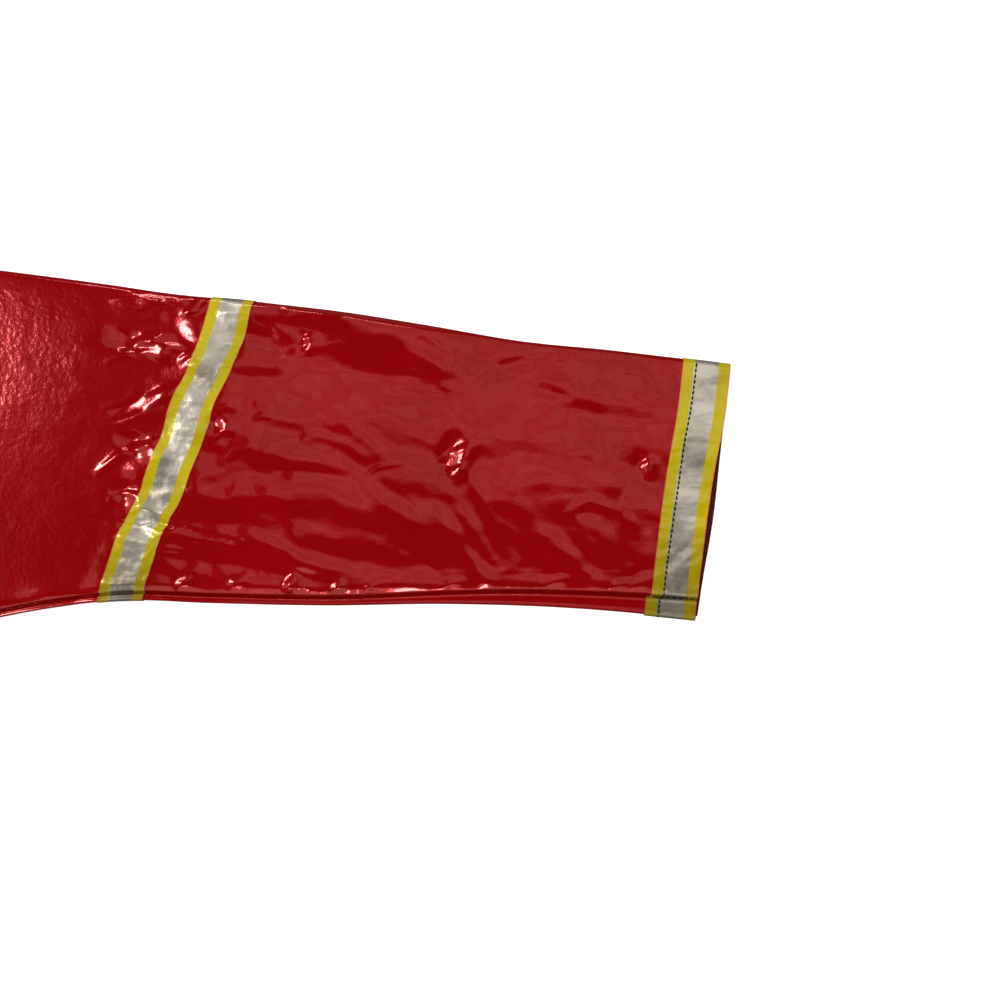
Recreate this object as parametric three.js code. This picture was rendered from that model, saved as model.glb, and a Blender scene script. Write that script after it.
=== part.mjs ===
// A child's firefighter-style raincoat of glossy vinyl, closed and laid on its back with both sleeves out.
// Millimetres. X runs along the sleeves towards the wearer's left, Y from hem to collar, Z up from
// the surface that the coat lies on. The origin is the middle of the coat's outline, on that surface.

import * as THREE from "three";

// The cloth. Two layers lie on each other, closer at their seams than between them.
const WALL = 1.2;
const SEAM_GAP = 0.3;
const EDGE_GAP = 0.6;
const SEAM_SLACK = 0.1;
const MOST_GAP = 3.6;
const EDGE_HEIGHT = 2 * WALL + EDGE_GAP;
const FOLD_RADIUS = EDGE_HEIGHT / 2;

// The body, as half widths from the centre line and lengths down from the shoulder beside the neck.
const BODY_LENGTH = 610;
const HEM_HALF = 225;
const HEM_RISE = 9;
const CHEST_HALF = 203;
const SHOULDER_HALF = 165;
const SHOULDER_DROP = 24;
const ARMHOLE_DEPTH = 161;
const ARMHOLE_HOLLOW = 14;
const ARMHOLE_BEND_AT = 0.4;
const NECK_HALF = 62;
const FRONT_NECK_DROP = 55;
const BACK_NECK_DROP = 15;
const OVERLAP_HALF = 25;
const BODY_LOFT = 2.0;
const NECK_GAP = BODY_LOFT + SEAM_GAP;
const OVERLAP_STEP_FROM = 30;
const OVERLAP_STEP_TO = 60;
const FRONT_FOLDS_FROM = 35;
const FRONT_FOLDS_FULL = 70;
const SEAM_FADE_CELLS = 3;
const NECK_FADE_CELLS = 6;
const SHOULDER_FREE_CELLS = 2;

// The collar, a plain strip that stands up from the neck seam.
const COLLAR_RISE = 33;
const COLLAR_FRONT_HEIGHT = 42;
const COLLAR_LEAN = 9;
const COLLAR_BACK_DIP = 4;
const COLLAR_CLEARANCE = 0.4;
const COLLAR_TUCK_SHARPNESS = 4;
const COLLAR_EDGE_SHARPNESS = 3;

// The sleeves: lengths along the top fold, and slopes down from the horizontal in degrees.
const SLEEVE_TOP_LENGTH = 367;
const SLEEVE_TOP_SLOPE = 8.1;
const CUFF_WIDTH = 106;
const CUFF_LEAN = 7.3;
const SLEEVE_CROWN = 1.9;
const UPPER_LIMIT = 7.0;

// The underarm seam shows as a groove, with puffed cloth above it.
const GROOVE_DEPTH = 0.45;
const GROOVE_HALF = 1.4;
const PUFF_HEIGHT = 1.3;
const PUFF_HALF = 5;
const CROWN_FADE = 9;
const FOLD_FADE_LOW = 14;
const FOLD_FADE_TOP = 12;

// Reflective tape, 19 mm wide on the flat.
const TAPE = 1.0;
const TAPE_WIDTH = 19;
const TAPE_LIFT = TAPE + SEAM_GAP;
const TAPE_RAMP = 4;
const BAND_TOP_FROM_SHOULDER = 154;
const BAND_LOW_FROM_ARMPIT = 65.4;
const BAND_TOP_HALF = 9.3;
const BAND_LOW_HALF = 10.2;
const BAND_KINK_REACH = 0.12;
const CUFF_DRAW_FROM = 0.85;

// Press studs down the front.
const STUD_COUNT = 5;
const STUD_RADIUS = 6.8;
const STUD_HEIGHT = 2.4;
const STUD_FROM_HEM = 85;
const STUD_FROM_NECK = 24;
const STUD_SEGMENTS = 20;

// How finely each panel is divided.
const ARMHOLE_CELLS = 12;
const SIDE_CELLS = 14;
const NECK_CELLS = 6;
const SHOULDER_CELLS = 7;
const SLEEVE_TOP_CELLS = 18;
const SLEEVE_UNDER_CELLS = 6;
const FOLD_CELLS = 4;
const HEM_CELLS = 5;
const COLLAR_CELLS = 4;
const NECK_STEP = 15;
const QUARTER_TURN = 90;

// Points of the pattern that the pieces share, on the wearer's left.
const hemY = -(BODY_LENGTH + COLLAR_RISE) / 2;
const neckPoint = new THREE.Vector2(NECK_HALF, hemY + BODY_LENGTH);
const shoulderPoint = new THREE.Vector2(SHOULDER_HALF, neckPoint.y - SHOULDER_DROP);
const armpit = new THREE.Vector2(CHEST_HALF, shoulderPoint.y - ARMHOLE_DEPTH);
const hemCorner = new THREE.Vector2(HEM_HALF, hemY + HEM_RISE);
const collarTopY = neckPoint.y + COLLAR_RISE;
const cuffTop = turned(-SLEEVE_TOP_SLOPE, SLEEVE_TOP_LENGTH).add(shoulderPoint);
const cuffLow = turned(-90 - CUFF_LEAN, CUFF_WIDTH).add(cuffTop);

// The underarm edge bows up between the armpit and the cuff: its height above the straight line there.
const underarmEdge = [
  { along: 0.0, out: 0.0 },
  { along: 0.1, out: 5.6 },
  { along: 0.21, out: 9.2 },
  { along: 0.33, out: 7.9 },
  { along: 0.5, out: 6.6 },
  { along: 0.66, out: 7.0 },
  { along: 0.83, out: 5.1 },
  { along: 0.93, out: 2.5 },
  { along: 1.0, out: 0.0 },
];

// The top fold of the sleeve swings a little either side of its straight line.
const topEdge = [
  { along: 0.0, out: 0.0 },
  { along: 0.28, out: 0.0 },
  { along: 0.34, out: -0.4 },
  { along: 0.46, out: 0.9 },
  { along: 0.56, out: 1.3 },
  { along: 0.65, out: 0.3 },
  { along: 0.77, out: -1.4 },
  { along: 0.86, out: -0.4 },
  { along: 1.0, out: 0.0 },
];

// The underarm seam rolls to the front: how far it lies up from the lower edge.
const seamRoll = [
  { along: 0.0, out: 3.2 },
  { along: 0.3, out: 3.7 },
  { along: 0.6, out: 4.1 },
  { along: 0.74, out: 5.8 },
  { along: 0.87, out: 7.0 },
  { along: 1.0, out: 8.6 },
];

// The upper band of tape is kinked where the cloth bunches towards the armpit: its drift along the
// sleeve at each share of the way up from the lower edge.
const bandDrift = [
  { along: 0.0, out: 0.0 },
  { along: 0.13, out: -1.0 },
  { along: 0.24, out: -1.2 },
  { along: 0.34, out: 1.5 },
  { along: 0.44, out: 1.2 },
  { along: 0.55, out: 1.7 },
  { along: 0.65, out: 0.4 },
  { along: 0.77, out: 2.2 },
  { along: 0.88, out: 2.0 },
  { along: 1.0, out: 0.0 },
];

// The cuff's front layer is drawn back in its lower half, so the back layer shows beyond it.
const cuffFrontDrift = [
  { along: 0.0, out: -0.8 },
  { along: 0.12, out: -1.3 },
  { along: 0.3, out: -1.6 },
  { along: 0.45, out: -1.6 },
  { along: 0.62, out: -1.0 },
  { along: 0.75, out: 0.0 },
  { along: 1.0, out: 0.0 },
];
const cuffBackDrift = [
  { along: 0.0, out: 0.0 },
  { along: 0.15, out: 0.3 },
  { along: 0.38, out: 1.3 },
  { along: 0.65, out: 0.8 },
  { along: 1.0, out: 0.0 },
];

// Largest folds: middle, direction in degrees, half length, half width and height. Troughs are below 0.
const leftSleeveFolds = [
  { x: 222, y: 190, turn: -70, long: 42, wide: 9, high: 1.6 },
  { x: 243, y: 140, turn: 24, long: 34, wide: 7, high: 1.8 },
  { x: 262, y: 214, turn: -28, long: 40, wide: 8, high: 1.5 },
  { x: 282, y: 172, turn: 12, long: 28, wide: 7, high: -1.5 },
  { x: 300, y: 147, turn: -18, long: 34, wide: 6, high: 1.9 },
  { x: 312, y: 132, turn: -8, long: 38, wide: 6, high: -1.3 },
  { x: 345, y: 226, turn: -10, long: 44, wide: 8, high: 1.2 },
  { x: 372, y: 172, turn: 38, long: 34, wide: 10, high: 1.3 },
  { x: 402, y: 200, turn: -24, long: 40, wide: 11, high: -1.3 },
  { x: 424, y: 150, turn: -52, long: 32, wide: 9, high: 1.4 },
  { x: 452, y: 186, turn: -20, long: 36, wide: 10, high: 1.1 },
  { x: 474, y: 146, turn: 30, long: 30, wide: 10, high: -1.2 },
  { x: 498, y: 176, turn: 75, long: 34, wide: 9, high: 1.0 },
];
const rightSleeveFolds = [
  { x: 218, y: 206, turn: -62, long: 38, wide: 9, high: 1.5 },
  { x: 236, y: 150, turn: 30, long: 36, wide: 8, high: 1.7 },
  { x: 270, y: 196, turn: -16, long: 38, wide: 8, high: 1.6 },
  { x: 288, y: 150, turn: -30, long: 36, wide: 7, high: -1.4 },
  { x: 322, y: 212, turn: 20, long: 32, wide: 9, high: 1.2 },
  { x: 352, y: 150, turn: -12, long: 44, wide: 8, high: 1.5 },
  { x: 388, y: 196, turn: -40, long: 36, wide: 10, high: -1.2 },
  { x: 420, y: 166, turn: 22, long: 38, wide: 10, high: 1.4 },
  { x: 462, y: 190, turn: -30, long: 34, wide: 10, high: 1.2 },
  { x: 486, y: 140, turn: 48, long: 30, wide: 9, high: -1.2 },
];
const leftFrontFolds = [
  { x: 150, y: 150, turn: -58, long: 60, wide: 15, high: 1.6 },
  { x: 120, y: 60, turn: -74, long: 80, wide: 16, high: -1.0 },
  { x: 166, y: 10, turn: 84, long: 90, wide: 17, high: 1.4 },
  { x: 92, y: -80, turn: 76, long: 95, wide: 18, high: 1.3 },
  { x: 150, y: -160, turn: 96, long: 90, wide: 18, high: -1.1 },
  { x: 188, y: -220, turn: 82, long: 70, wide: 15, high: 1.2 },
  { x: 84, y: -250, turn: 98, long: 55, wide: 16, high: 1.1 },
];
const rightFrontFolds = [
  { x: 142, y: 170, turn: -50, long: 56, wide: 15, high: 1.5 },
  { x: 104, y: 90, turn: -80, long: 76, wide: 16, high: 1.1 },
  { x: 170, y: 30, turn: 92, long: 84, wide: 16, high: -1.1 },
  { x: 120, y: -50, turn: 80, long: 98, wide: 18, high: 1.5 },
  { x: 80, y: -170, turn: 94, long: 88, wide: 17, high: -1.0 },
  { x: 168, y: -200, turn: 86, long: 80, wide: 17, high: 1.4 },
];

// A point at a distance and a direction in degrees from the origin.
function turned(degrees, distance) {
  const angle = THREE.MathUtils.degToRad(degrees);
  return new THREE.Vector2(Math.cos(angle), Math.sin(angle)).multiplyScalar(distance);
}

// Smooth lookup in a table of { along, out } rows.
function lookUp(table, along) {
  const places = table.map((row) => row.along);
  const values = table.map((row) => row.out);
  const curve = new THREE.CubicInterpolant(places, values, 1);
  return curve.evaluate(THREE.MathUtils.clamp(along, 0, 1))[0];
}

// The height that a table of folds adds at a point.
function foldHeight(folds, x, y) {
  let height = 0;
  for (const fold of folds) {
    const turn = THREE.MathUtils.degToRad(fold.turn);
    const along = (x - fold.x) * Math.cos(turn) + (y - fold.y) * Math.sin(turn);
    const across = (y - fold.y) * Math.cos(turn) - (x - fold.x) * Math.sin(turn);
    height += fold.high * Math.exp(-((along / fold.long) ** 4) - (across / fold.wide) ** 2);
  }
  return height;
}

// A closed solid between an outer and an inner surface, each a grid of points as rows of columns.
// With ringed set, each row closes on itself and the solid is an open-ended tube.
function solidBetween(outer, inner, ringed) {
  const rows = outer.length;
  const columns = outer[0].length;
  const points = [...outer.flat(), ...inner.flat()];
  const half = rows * columns;
  const index = [];
  const at = (layer, row, column) => layer * half + row * columns + (column % columns);
  const quad = (a, b, c, d) => index.push(a, c, b, a, d, c);
  const lastColumn = ringed ? columns : columns - 1;
  for (let row = 0; row < rows - 1; row++) {
    for (let column = 0; column < lastColumn; column++) {
      quad(at(0, row, column), at(0, row + 1, column), at(0, row + 1, column + 1), at(0, row, column + 1));
      quad(at(1, row, column), at(1, row, column + 1), at(1, row + 1, column + 1), at(1, row + 1, column));
    }
  }
  for (let column = 0; column < lastColumn; column++) {
    const end = rows - 1;
    quad(at(0, 0, column), at(0, 0, column + 1), at(1, 0, column + 1), at(1, 0, column));
    quad(at(0, end, column + 1), at(0, end, column), at(1, end, column), at(1, end, column + 1));
  }
  if (!ringed) {
    const end = columns - 1;
    for (let row = 0; row < rows - 1; row++) {
      quad(at(0, row + 1, 0), at(0, row, 0), at(1, row, 0), at(1, row + 1, 0));
      quad(at(0, row, end), at(0, row + 1, end), at(1, row + 1, end), at(1, row, end));
    }
  }
  const geometry = new THREE.BufferGeometry().setFromPoints(points);
  geometry.setIndex(index);
  geometry.computeVertexNormals();
  return geometry;
}

// The armhole seam, from the armpit at share 0 to the shoulder at share 1, as the same straight
// steps for every piece that meets it.
function armholeAt(share) {
  const bend = new THREE.Vector2().lerpVectors(armpit, shoulderPoint, ARMHOLE_BEND_AT);
  bend.x -= ARMHOLE_HOLLOW;
  const curve = new THREE.QuadraticBezierCurve(armpit, bend, shoulderPoint);
  const step = Math.min(Math.floor(share * ARMHOLE_CELLS), ARMHOLE_CELLS - 1);
  const from = curve.getPoint(step / ARMHOLE_CELLS);
  const to = curve.getPoint((step + 1) / ARMHOLE_CELLS);
  return from.lerp(to, share * ARMHOLE_CELLS - step);
}

// How high the upper layer is held above the lower one along the armhole.
function armholeLoft(share) {
  return SLEEVE_CROWN * Math.sqrt(Math.max(Math.sin(Math.PI * share), 0));
}

// Sleeve. A row is a line across the sleeve from its lower edge to its top fold. The rows fan from the
// armhole to the band of tape, and on to the cuff. Each is given by how far it starts along both edges.
const tapeAcross = TAPE_WIDTH / Math.cos(THREE.MathUtils.degToRad(CUFF_LEAN));
const lowLength = cuffLow.x - armpit.x;
const topLength = cuffTop.x - shoulderPoint.x;
const bandIn = {
  low: BAND_LOW_FROM_ARMPIT - BAND_LOW_HALF,
  top: BAND_TOP_FROM_SHOULDER - BAND_TOP_HALF,
};
const bandOut = {
  low: BAND_LOW_FROM_ARMPIT + BAND_LOW_HALF,
  top: BAND_TOP_FROM_SHOULDER + BAND_TOP_HALF,
};
const cuffIn = { low: lowLength - tapeAcross, top: topLength - tapeAcross };
const sleeveRows = [
  { name: "armhole", low: 0, top: 0, cells: 8, tape: 0 },
  { name: "ramp into the band", ...shifted(bandIn, -TAPE_RAMP), cells: 1, tape: 0 },
  { name: "band in", ...bandIn, cells: 2, tape: 1 },
  { name: "band out", ...bandOut, cells: 1, tape: 1 },
  { name: "ramp out of the band", ...shifted(bandOut, TAPE_RAMP), cells: 13, tape: 0 },
  { name: "ramp into the cuff", ...shifted(cuffIn, -TAPE_RAMP), cells: 1, tape: 0 },
  { name: "cuff tape in", ...cuffIn, cells: 2, tape: 1 },
  { name: "cuff", low: lowLength, top: topLength, cells: 0, tape: 1 },
];

// A row moved along the sleeve.
function shifted(row, distance) {
  return { low: row.low + distance, top: row.top + distance };
}

// Every row of the sleeve's grid, as { low, top, tape } between the named rows.
function rowsBetween(first, last) {
  const from = sleeveRows.findIndex((row) => row.name === first);
  const to = sleeveRows.findIndex((row) => row.name === last);
  const rows = [];
  for (let i = from; i < to; i++) {
    for (let cell = 0; cell < sleeveRows[i].cells; cell++) {
      const share = cell / sleeveRows[i].cells;
      rows.push({
        low: THREE.MathUtils.lerp(sleeveRows[i].low, sleeveRows[i + 1].low, share),
        top: THREE.MathUtils.lerp(sleeveRows[i].top, sleeveRows[i + 1].top, share),
        tape: THREE.MathUtils.lerp(sleeveRows[i].tape, sleeveRows[i + 1].tape, share),
      });
    }
  }
  rows.push(sleeveRows[to]);
  return rows;
}

// Where a row's line starts on the lower edge and ends on the top fold.
function rowEnds(row) {
  const lowShare = row.low / lowLength;
  const topShare = row.top / topLength;
  const low = new THREE.Vector2().lerpVectors(armpit, cuffLow, lowShare);
  const top = new THREE.Vector2().lerpVectors(shoulderPoint, cuffTop, topShare);
  low.y += lookUp(underarmEdge, lowShare);
  top.y += lookUp(topEdge, topShare);
  return { low, top, lowShare, topShare };
}

// The cross-section of a row, round from the lower edge under the sleeve and back over it. Each point
// has its distance across, its height, and the direction that faces out of the cloth there.
function sleeveSection(row, folds) {
  const { low, top, lowShare } = rowEnds(row);
  const width = low.distanceTo(top);
  const rise = row.tape * TAPE_LIFT;
  const seam = lookUp(seamRoll, lowShare);
  const points = [];
  for (let i = 0; i <= SLEEVE_UNDER_CELLS; i++) {
    const across = THREE.MathUtils.lerp(FOLD_RADIUS, width - FOLD_RADIUS, i / SLEEVE_UNDER_CELLS);
    points.push({ across, height: rise, outX: 0, outZ: -1, under: true });
  }
  for (let i = 1; i < FOLD_CELLS; i++) {
    const angle = (Math.PI * i) / FOLD_CELLS - Math.PI / 2;
    points.push(foldPoint(width - FOLD_RADIUS, rise, angle, 1));
  }
  for (let i = 0; i <= SLEEVE_TOP_CELLS; i++) {
    const share = i / SLEEVE_TOP_CELLS;
    points.push({ across: THREE.MathUtils.lerp(width - FOLD_RADIUS, seam + PUFF_HALF, share) });
  }
  points.push({ across: seam + GROOVE_HALF });
  points.push({ across: seam });
  points.push({ across: seam - GROOVE_HALF });
  points.push({ across: FOLD_RADIUS });
  for (const point of points) {
    if (point.height !== undefined) continue;
    const place = new THREE.Vector2().lerpVectors(low, top, point.across / width);
    point.height = rise + upperHeight(point.across, width, seam, place, folds);
    point.outX = 0;
    point.outZ = 1;
  }
  for (let i = 1; i < FOLD_CELLS; i++) {
    const angle = Math.PI / 2 - (Math.PI * i) / FOLD_CELLS;
    points.push(foldPoint(FOLD_RADIUS, rise, angle, -1));
  }
  return points;
}

// A point of the rounded edge of a section, on the outside of the cloth.
function foldPoint(centre, rise, angle, side) {
  return {
    across: centre + side * FOLD_RADIUS * Math.cos(angle),
    height: rise + FOLD_RADIUS * (1 + Math.sin(angle)),
    outX: side * Math.cos(angle),
    outZ: Math.sin(angle),
  };
}

// Height of the upper layer's outside: a crown, the folds, and the groove of the underarm seam with
// the puffed edge above it.
function upperHeight(across, width, seam, place, folds) {
  const share = across / width;
  const above = Math.max(0, across - seam);
  const fade = Math.min(1, above / FOLD_FADE_LOW, (width - across) / FOLD_FADE_TOP);
  const crown = armholeLoft(share) * Math.min(1, above / CROWN_FADE);
  const puff = PUFF_HEIGHT * Math.exp(-(((across - seam) / PUFF_HALF - 1) ** 2));
  const groove = GROOVE_DEPTH * Math.exp(-(((across - seam) / GROOVE_HALF) ** 2));
  const height = EDGE_HEIGHT + crown + puff - groove + fade * foldHeight(folds, place.x, place.y);
  return THREE.MathUtils.clamp(height, EDGE_HEIGHT - GROOVE_DEPTH, UPPER_LIMIT);
}

// One surface of the sleeve, moved out of the cloth's outside by a distance, or into it below 0.
function sleeveSurface(rows, folds, out) {
  return rows.map((row) => {
    const { low, top, topShare } = rowEnds(row);
    const width = low.distanceTo(top);
    const section = sleeveSection(row, folds);
    const floor = row.tape * TAPE_LIFT;
    return section.map((point) => {
      const across = point.across + out * point.outX;
      const share = THREE.MathUtils.clamp(across / width, 0, 1);
      const place = new THREE.Vector2().lerpVectors(low, top, across / width);
      if (row.low === 0) place.copy(armholeEnd(across, share, width));
      place.x += drift(row, point, share, topShare);
      let height = point.height + out * point.outZ;
      if (out < 0 && point.outZ === 1) height = Math.min(height, floor + WALL + MOST_GAP);
      return new THREE.Vector3(place.x, place.y, height);
    });
  });
}

// The first row follows the armhole seam, half a seam gap outside it.
function armholeEnd(across, share, width) {
  const place = armholeAt(share);
  const beyond = across - share * width;
  const down = new THREE.Vector2().subVectors(armpit, shoulderPoint).normalize();
  place.addScaledVector(down, -beyond);
  place.x += SEAM_GAP / 2 + SEAM_SLACK;
  return place;
}

// How far a point of a row is shifted along the sleeve, by the kink at the band and at the cuff.
function drift(row, point, share, topShare) {
  const bandShare = BAND_TOP_FROM_SHOULDER / topLength;
  const nearBand = Math.exp(-(((topShare - bandShare) / BAND_KINK_REACH) ** 2));
  const nearCuff = THREE.MathUtils.smoothstep(topShare, CUFF_DRAW_FROM, 1);
  const atCuff = lookUp(point.under ? cuffBackDrift : cuffFrontDrift, share);
  return nearBand * lookUp(bandDrift, share) + nearCuff * atCuff;
}

function sleeveGeometry(folds) {
  const rows = rowsBetween("armhole", "cuff");
  return solidBetween(sleeveSurface(rows, folds, 0), sleeveSurface(rows, folds, -WALL), true);
}

function tapeGeometry(first, last, folds) {
  const rows = rowsBetween(first, last);
  return solidBetween(sleeveSurface(rows, folds, TAPE_LIFT), sleeveSurface(rows, folds, SEAM_GAP), true);
}

// The back: a flat panel on the surface that the coat lies on.
function backGeometry() {
  const halfOutline = [new THREE.Vector2(0, hemY), ...hemPoints()];
  for (let i = 0; i <= ARMHOLE_CELLS; i++) {
    const point = armholeAt(i / ARMHOLE_CELLS);
    halfOutline.push(new THREE.Vector2(point.x - SEAM_GAP / 2, point.y));
  }
  for (let angle = QUARTER_TURN; angle >= 0; angle -= NECK_STEP) {
    halfOutline.push(neckPointAt(angle, NECK_HALF, BACK_NECK_DROP));
  }
  const mirrored = halfOutline.slice(1, -1).reverse().map((p) => new THREE.Vector2(-p.x, p.y));
  const shape = new THREE.Shape([...halfOutline, ...mirrored]);
  return new THREE.ExtrudeGeometry(shape, { depth: WALL, bevelEnabled: false });
}

// Points of the hem from beside the centre out to the side seam.
function hemPoints() {
  const points = [];
  for (let i = 1; i <= HEM_CELLS; i++) {
    points.push(hemAt((HEM_HALF * i) / HEM_CELLS));
  }
  return points;
}

function hemAt(x) {
  return new THREE.Vector2(x, hemY + HEM_RISE * (x / HEM_HALF) ** 2);
}

// A point of a neckline, an ellipse under the neck point. Angle 0 is the centre, 90 the shoulder.
function neckPointAt(degrees, halfWidth, drop) {
  const angle = THREE.MathUtils.degToRad(degrees);
  return new THREE.Vector2(halfWidth * Math.sin(angle), neckPoint.y - drop * Math.cos(angle));
}

// A front panel, on the wearer's left. Its grid lines run from the centre edge out to the side seam
// and armhole, and from the hem up to the neckline and shoulder.
function frontGeometry(folds, onTop) {
  const overlapAngle = THREE.MathUtils.radToDeg(Math.asin(OVERLAP_HALF / NECK_HALF));
  const neckAngles = [-overlapAngle, -overlapAngle / 2];
  for (let i = 0; i <= NECK_CELLS; i++) neckAngles.push((QUARTER_TURN * i) / NECK_CELLS);
  const topPoints = neckAngles.map((angle) => neckPointAt(angle, NECK_HALF, FRONT_NECK_DROP));
  for (let i = 1; i <= SHOULDER_CELLS; i++) {
    topPoints.push(new THREE.Vector2().lerpVectors(neckPoint, shoulderPoint, i / SHOULDER_CELLS));
  }
  const sidePoints = [];
  for (let i = 0; i < SIDE_CELLS; i++) {
    sidePoints.push(new THREE.Vector2().lerpVectors(hemCorner, armpit, i / SIDE_CELLS));
  }
  for (let i = 0; i <= ARMHOLE_CELLS; i++) sidePoints.push(armholeAt(i / ARMHOLE_CELLS));
  const corner = {
    hem: hemAt(-OVERLAP_HALF),
    side: sidePoints[0],
    neck: topPoints[0],
    shoulder: topPoints.at(-1),
  };

  const surface = (out) =>
    sidePoints.map((side, row) => {
      const upShare = (side.y - corner.side.y) / (corner.shoulder.y - corner.side.y);
      return topPoints.map((top, column) => {
        const outShare = (top.x - corner.neck.x) / (corner.shoulder.x - corner.neck.x);
        const hem = hemAt(THREE.MathUtils.lerp(-OVERLAP_HALF, HEM_HALF, outShare));
        const centre = new THREE.Vector2().lerpVectors(corner.hem, corner.neck, upShare);
        const place = patchPoint(hem, top, centre, side, outShare, upShare, corner);
        if (column === topPoints.length - 1) place.x -= SEAM_GAP / 2;
        const held = frontLoft(row, column, topPoints.length, place, folds);
        const step = onTop ? overlapStep(place.x) : 0;
        return new THREE.Vector3(place.x, place.y, WALL + SEAM_GAP + held + step + out);
      });
    });
  return solidBetween(surface(WALL), surface(0), false);
}

// A point of a four-sided patch, from the points of its four edges and its corners.
function patchPoint(hem, top, centre, side, outShare, upShare, corner) {
  const across = new THREE.Vector2().lerpVectors(centre, side, outShare);
  const upward = new THREE.Vector2().lerpVectors(hem, top, upShare);
  const lowCorners = new THREE.Vector2().lerpVectors(corner.hem, corner.side, outShare);
  const topCorners = new THREE.Vector2().lerpVectors(corner.neck, corner.shoulder, outShare);
  return across.add(upward).sub(lowCorners.lerp(topCorners, upShare));
}

// How high a front is held off the seam's height: nothing at the side and shoulder seams, the
// sleeve's own crown along the armhole, and the folds in between.
function frontLoft(row, column, columns, place, folds) {
  const rowsBelowTop = SIDE_CELLS + ARMHOLE_CELLS - row;
  const fromSide = Math.min(1, (columns - 1 - column) / SEAM_FADE_CELLS);
  const fromCentre = THREE.MathUtils.smoothstep(place.x, FRONT_FOLDS_FROM, FRONT_FOLDS_FULL);
  const armholeShare = Math.max(0, (row - SIDE_CELLS) / ARMHOLE_CELLS);
  const seamLoft = armholeLoft(armholeShare) + (EDGE_GAP - SEAM_GAP) * Math.sign(armholeShare);
  const atNeck = column <= NECK_CELLS + SHOULDER_FREE_CELLS;
  const shoulderFade = atNeck ? 1 : Math.min(1, rowsBelowTop / SEAM_FADE_CELLS);
  const open = THREE.MathUtils.lerp(seamLoft, BODY_LOFT, fromSide) * shoulderFade;
  const neckFade = Math.min(1, rowsBelowTop / NECK_FADE_CELLS);
  const folded = foldHeight(folds, place.x, place.y) * fromSide * fromCentre * neckFade;
  return THREE.MathUtils.clamp(open + folded, 0, MOST_GAP - SEAM_GAP);
}

// The left front is lifted over the right one where they overlap.
function overlapStep(x) {
  return (WALL + SEAM_GAP) * (1 - THREE.MathUtils.smoothstep(x, OVERLAP_STEP_FROM, OVERLAP_STEP_TO));
}

// The collar, a strip from the centre front round the back of the neck to the centre front again. It
// is folded flat at both sides of the neck, so its back half lies under its front half.
function collarGeometry() {
  const outer = [];
  const inner = [];
  for (const station of collarStations()) {
    outer.push(collarColumn(station, 0));
    inner.push(collarColumn(station, -WALL));
  }
  return solidBetween(outer, inner, false);
}

// Half the height of the folded collar, to the outside of its cloth.
const collarFold = (2 * WALL + NECK_GAP) / 2;

// Stations along the strip. Turn is 90 on the upper layer, -90 on the lower one, between at a fold.
function collarStations() {
  const stations = [];
  for (let angle = 0; angle <= QUARTER_TURN; angle += NECK_STEP) {
    stations.push({ side: 1, angle, turn: QUARTER_TURN });
  }
  for (let i = 1; i < FOLD_CELLS; i++) {
    const turn = QUARTER_TURN - (2 * QUARTER_TURN * i) / FOLD_CELLS;
    stations.push({ side: 1, angle: QUARTER_TURN, turn });
  }
  for (let angle = QUARTER_TURN; angle >= 0; angle -= NECK_STEP) {
    stations.push({ side: 1, angle, turn: -QUARTER_TURN });
  }
  const right = stations.slice(0, -1).reverse().map((station) => ({ ...station, side: -1 }));
  return [...stations, ...right].reverse();
}

// The points of one station from the neck seam up to the collar's free edge.
function collarColumn(station, out) {
  const onFront = station.turn === QUARTER_TURN;
  const drop = onFront ? FRONT_NECK_DROP : BACK_NECK_DROP;
  const seam = neckPointAt(station.angle, NECK_HALF - COLLAR_CLEARANCE, drop);
  seam.y += onFront ? COLLAR_CLEARANCE : COLLAR_CLEARANCE * 2;
  const free = collarFreeEdge(station);
  const turn = THREE.MathUtils.degToRad(station.turn);
  const tuck = collarFold * (station.angle / QUARTER_TURN) ** COLLAR_TUCK_SHARPNESS;
  const reach = (collarFold + out) * Math.cos(turn);
  const endGap = onFront && station.angle === 0 ? SEAM_GAP : 0;
  const points = [];
  for (let i = 0; i <= COLLAR_CELLS; i++) {
    const place = new THREE.Vector2().lerpVectors(seam, free, i / COLLAR_CELLS);
    const x = place.x - tuck + reach + endGap;
    const step = onFront && station.side > 0 ? overlapStep(place.x) : 0;
    const height = collarFold + (collarFold + out) * Math.sin(turn) + step;
    points.push(new THREE.Vector3(station.side * x, place.y, height));
  }
  return points;
}

// The collar's free edge over a station: dipping at the front, nearly level across the back.
function collarFreeEdge(station) {
  const share = Math.sin(THREE.MathUtils.degToRad(station.angle));
  const x = (NECK_HALF - COLLAR_CLEARANCE - COLLAR_LEAN) * share;
  const front = neckPoint.y - FRONT_NECK_DROP + COLLAR_FRONT_HEIGHT;
  const middle = station.turn === QUARTER_TURN ? front : collarTopY - COLLAR_BACK_DIP;
  const rise = share ** COLLAR_EDGE_SHARPNESS;
  return new THREE.Vector2(x, THREE.MathUtils.lerp(middle, collarTopY, rise));
}

// The cap of a press stud, a low dome with a rolled rim, as shares of its radius and height.
const studProfile = [
  { radius: 0.0, height: 0.0 },
  { radius: 0.94, height: 0.0 },
  { radius: 1.0, height: 0.3 },
  { radius: 0.92, height: 0.62 },
  { radius: 0.72, height: 0.72 },
  { radius: 0.4, height: 0.94 },
  { radius: 0.0, height: 1.0 },
];

function studGeometry() {
  const profile = studProfile.map(
    (point) => new THREE.Vector2(point.radius * STUD_RADIUS, point.height * STUD_HEIGHT),
  );
  return new THREE.LatheGeometry(profile, STUD_SEGMENTS).rotateX(Math.PI / 2);
}

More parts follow.
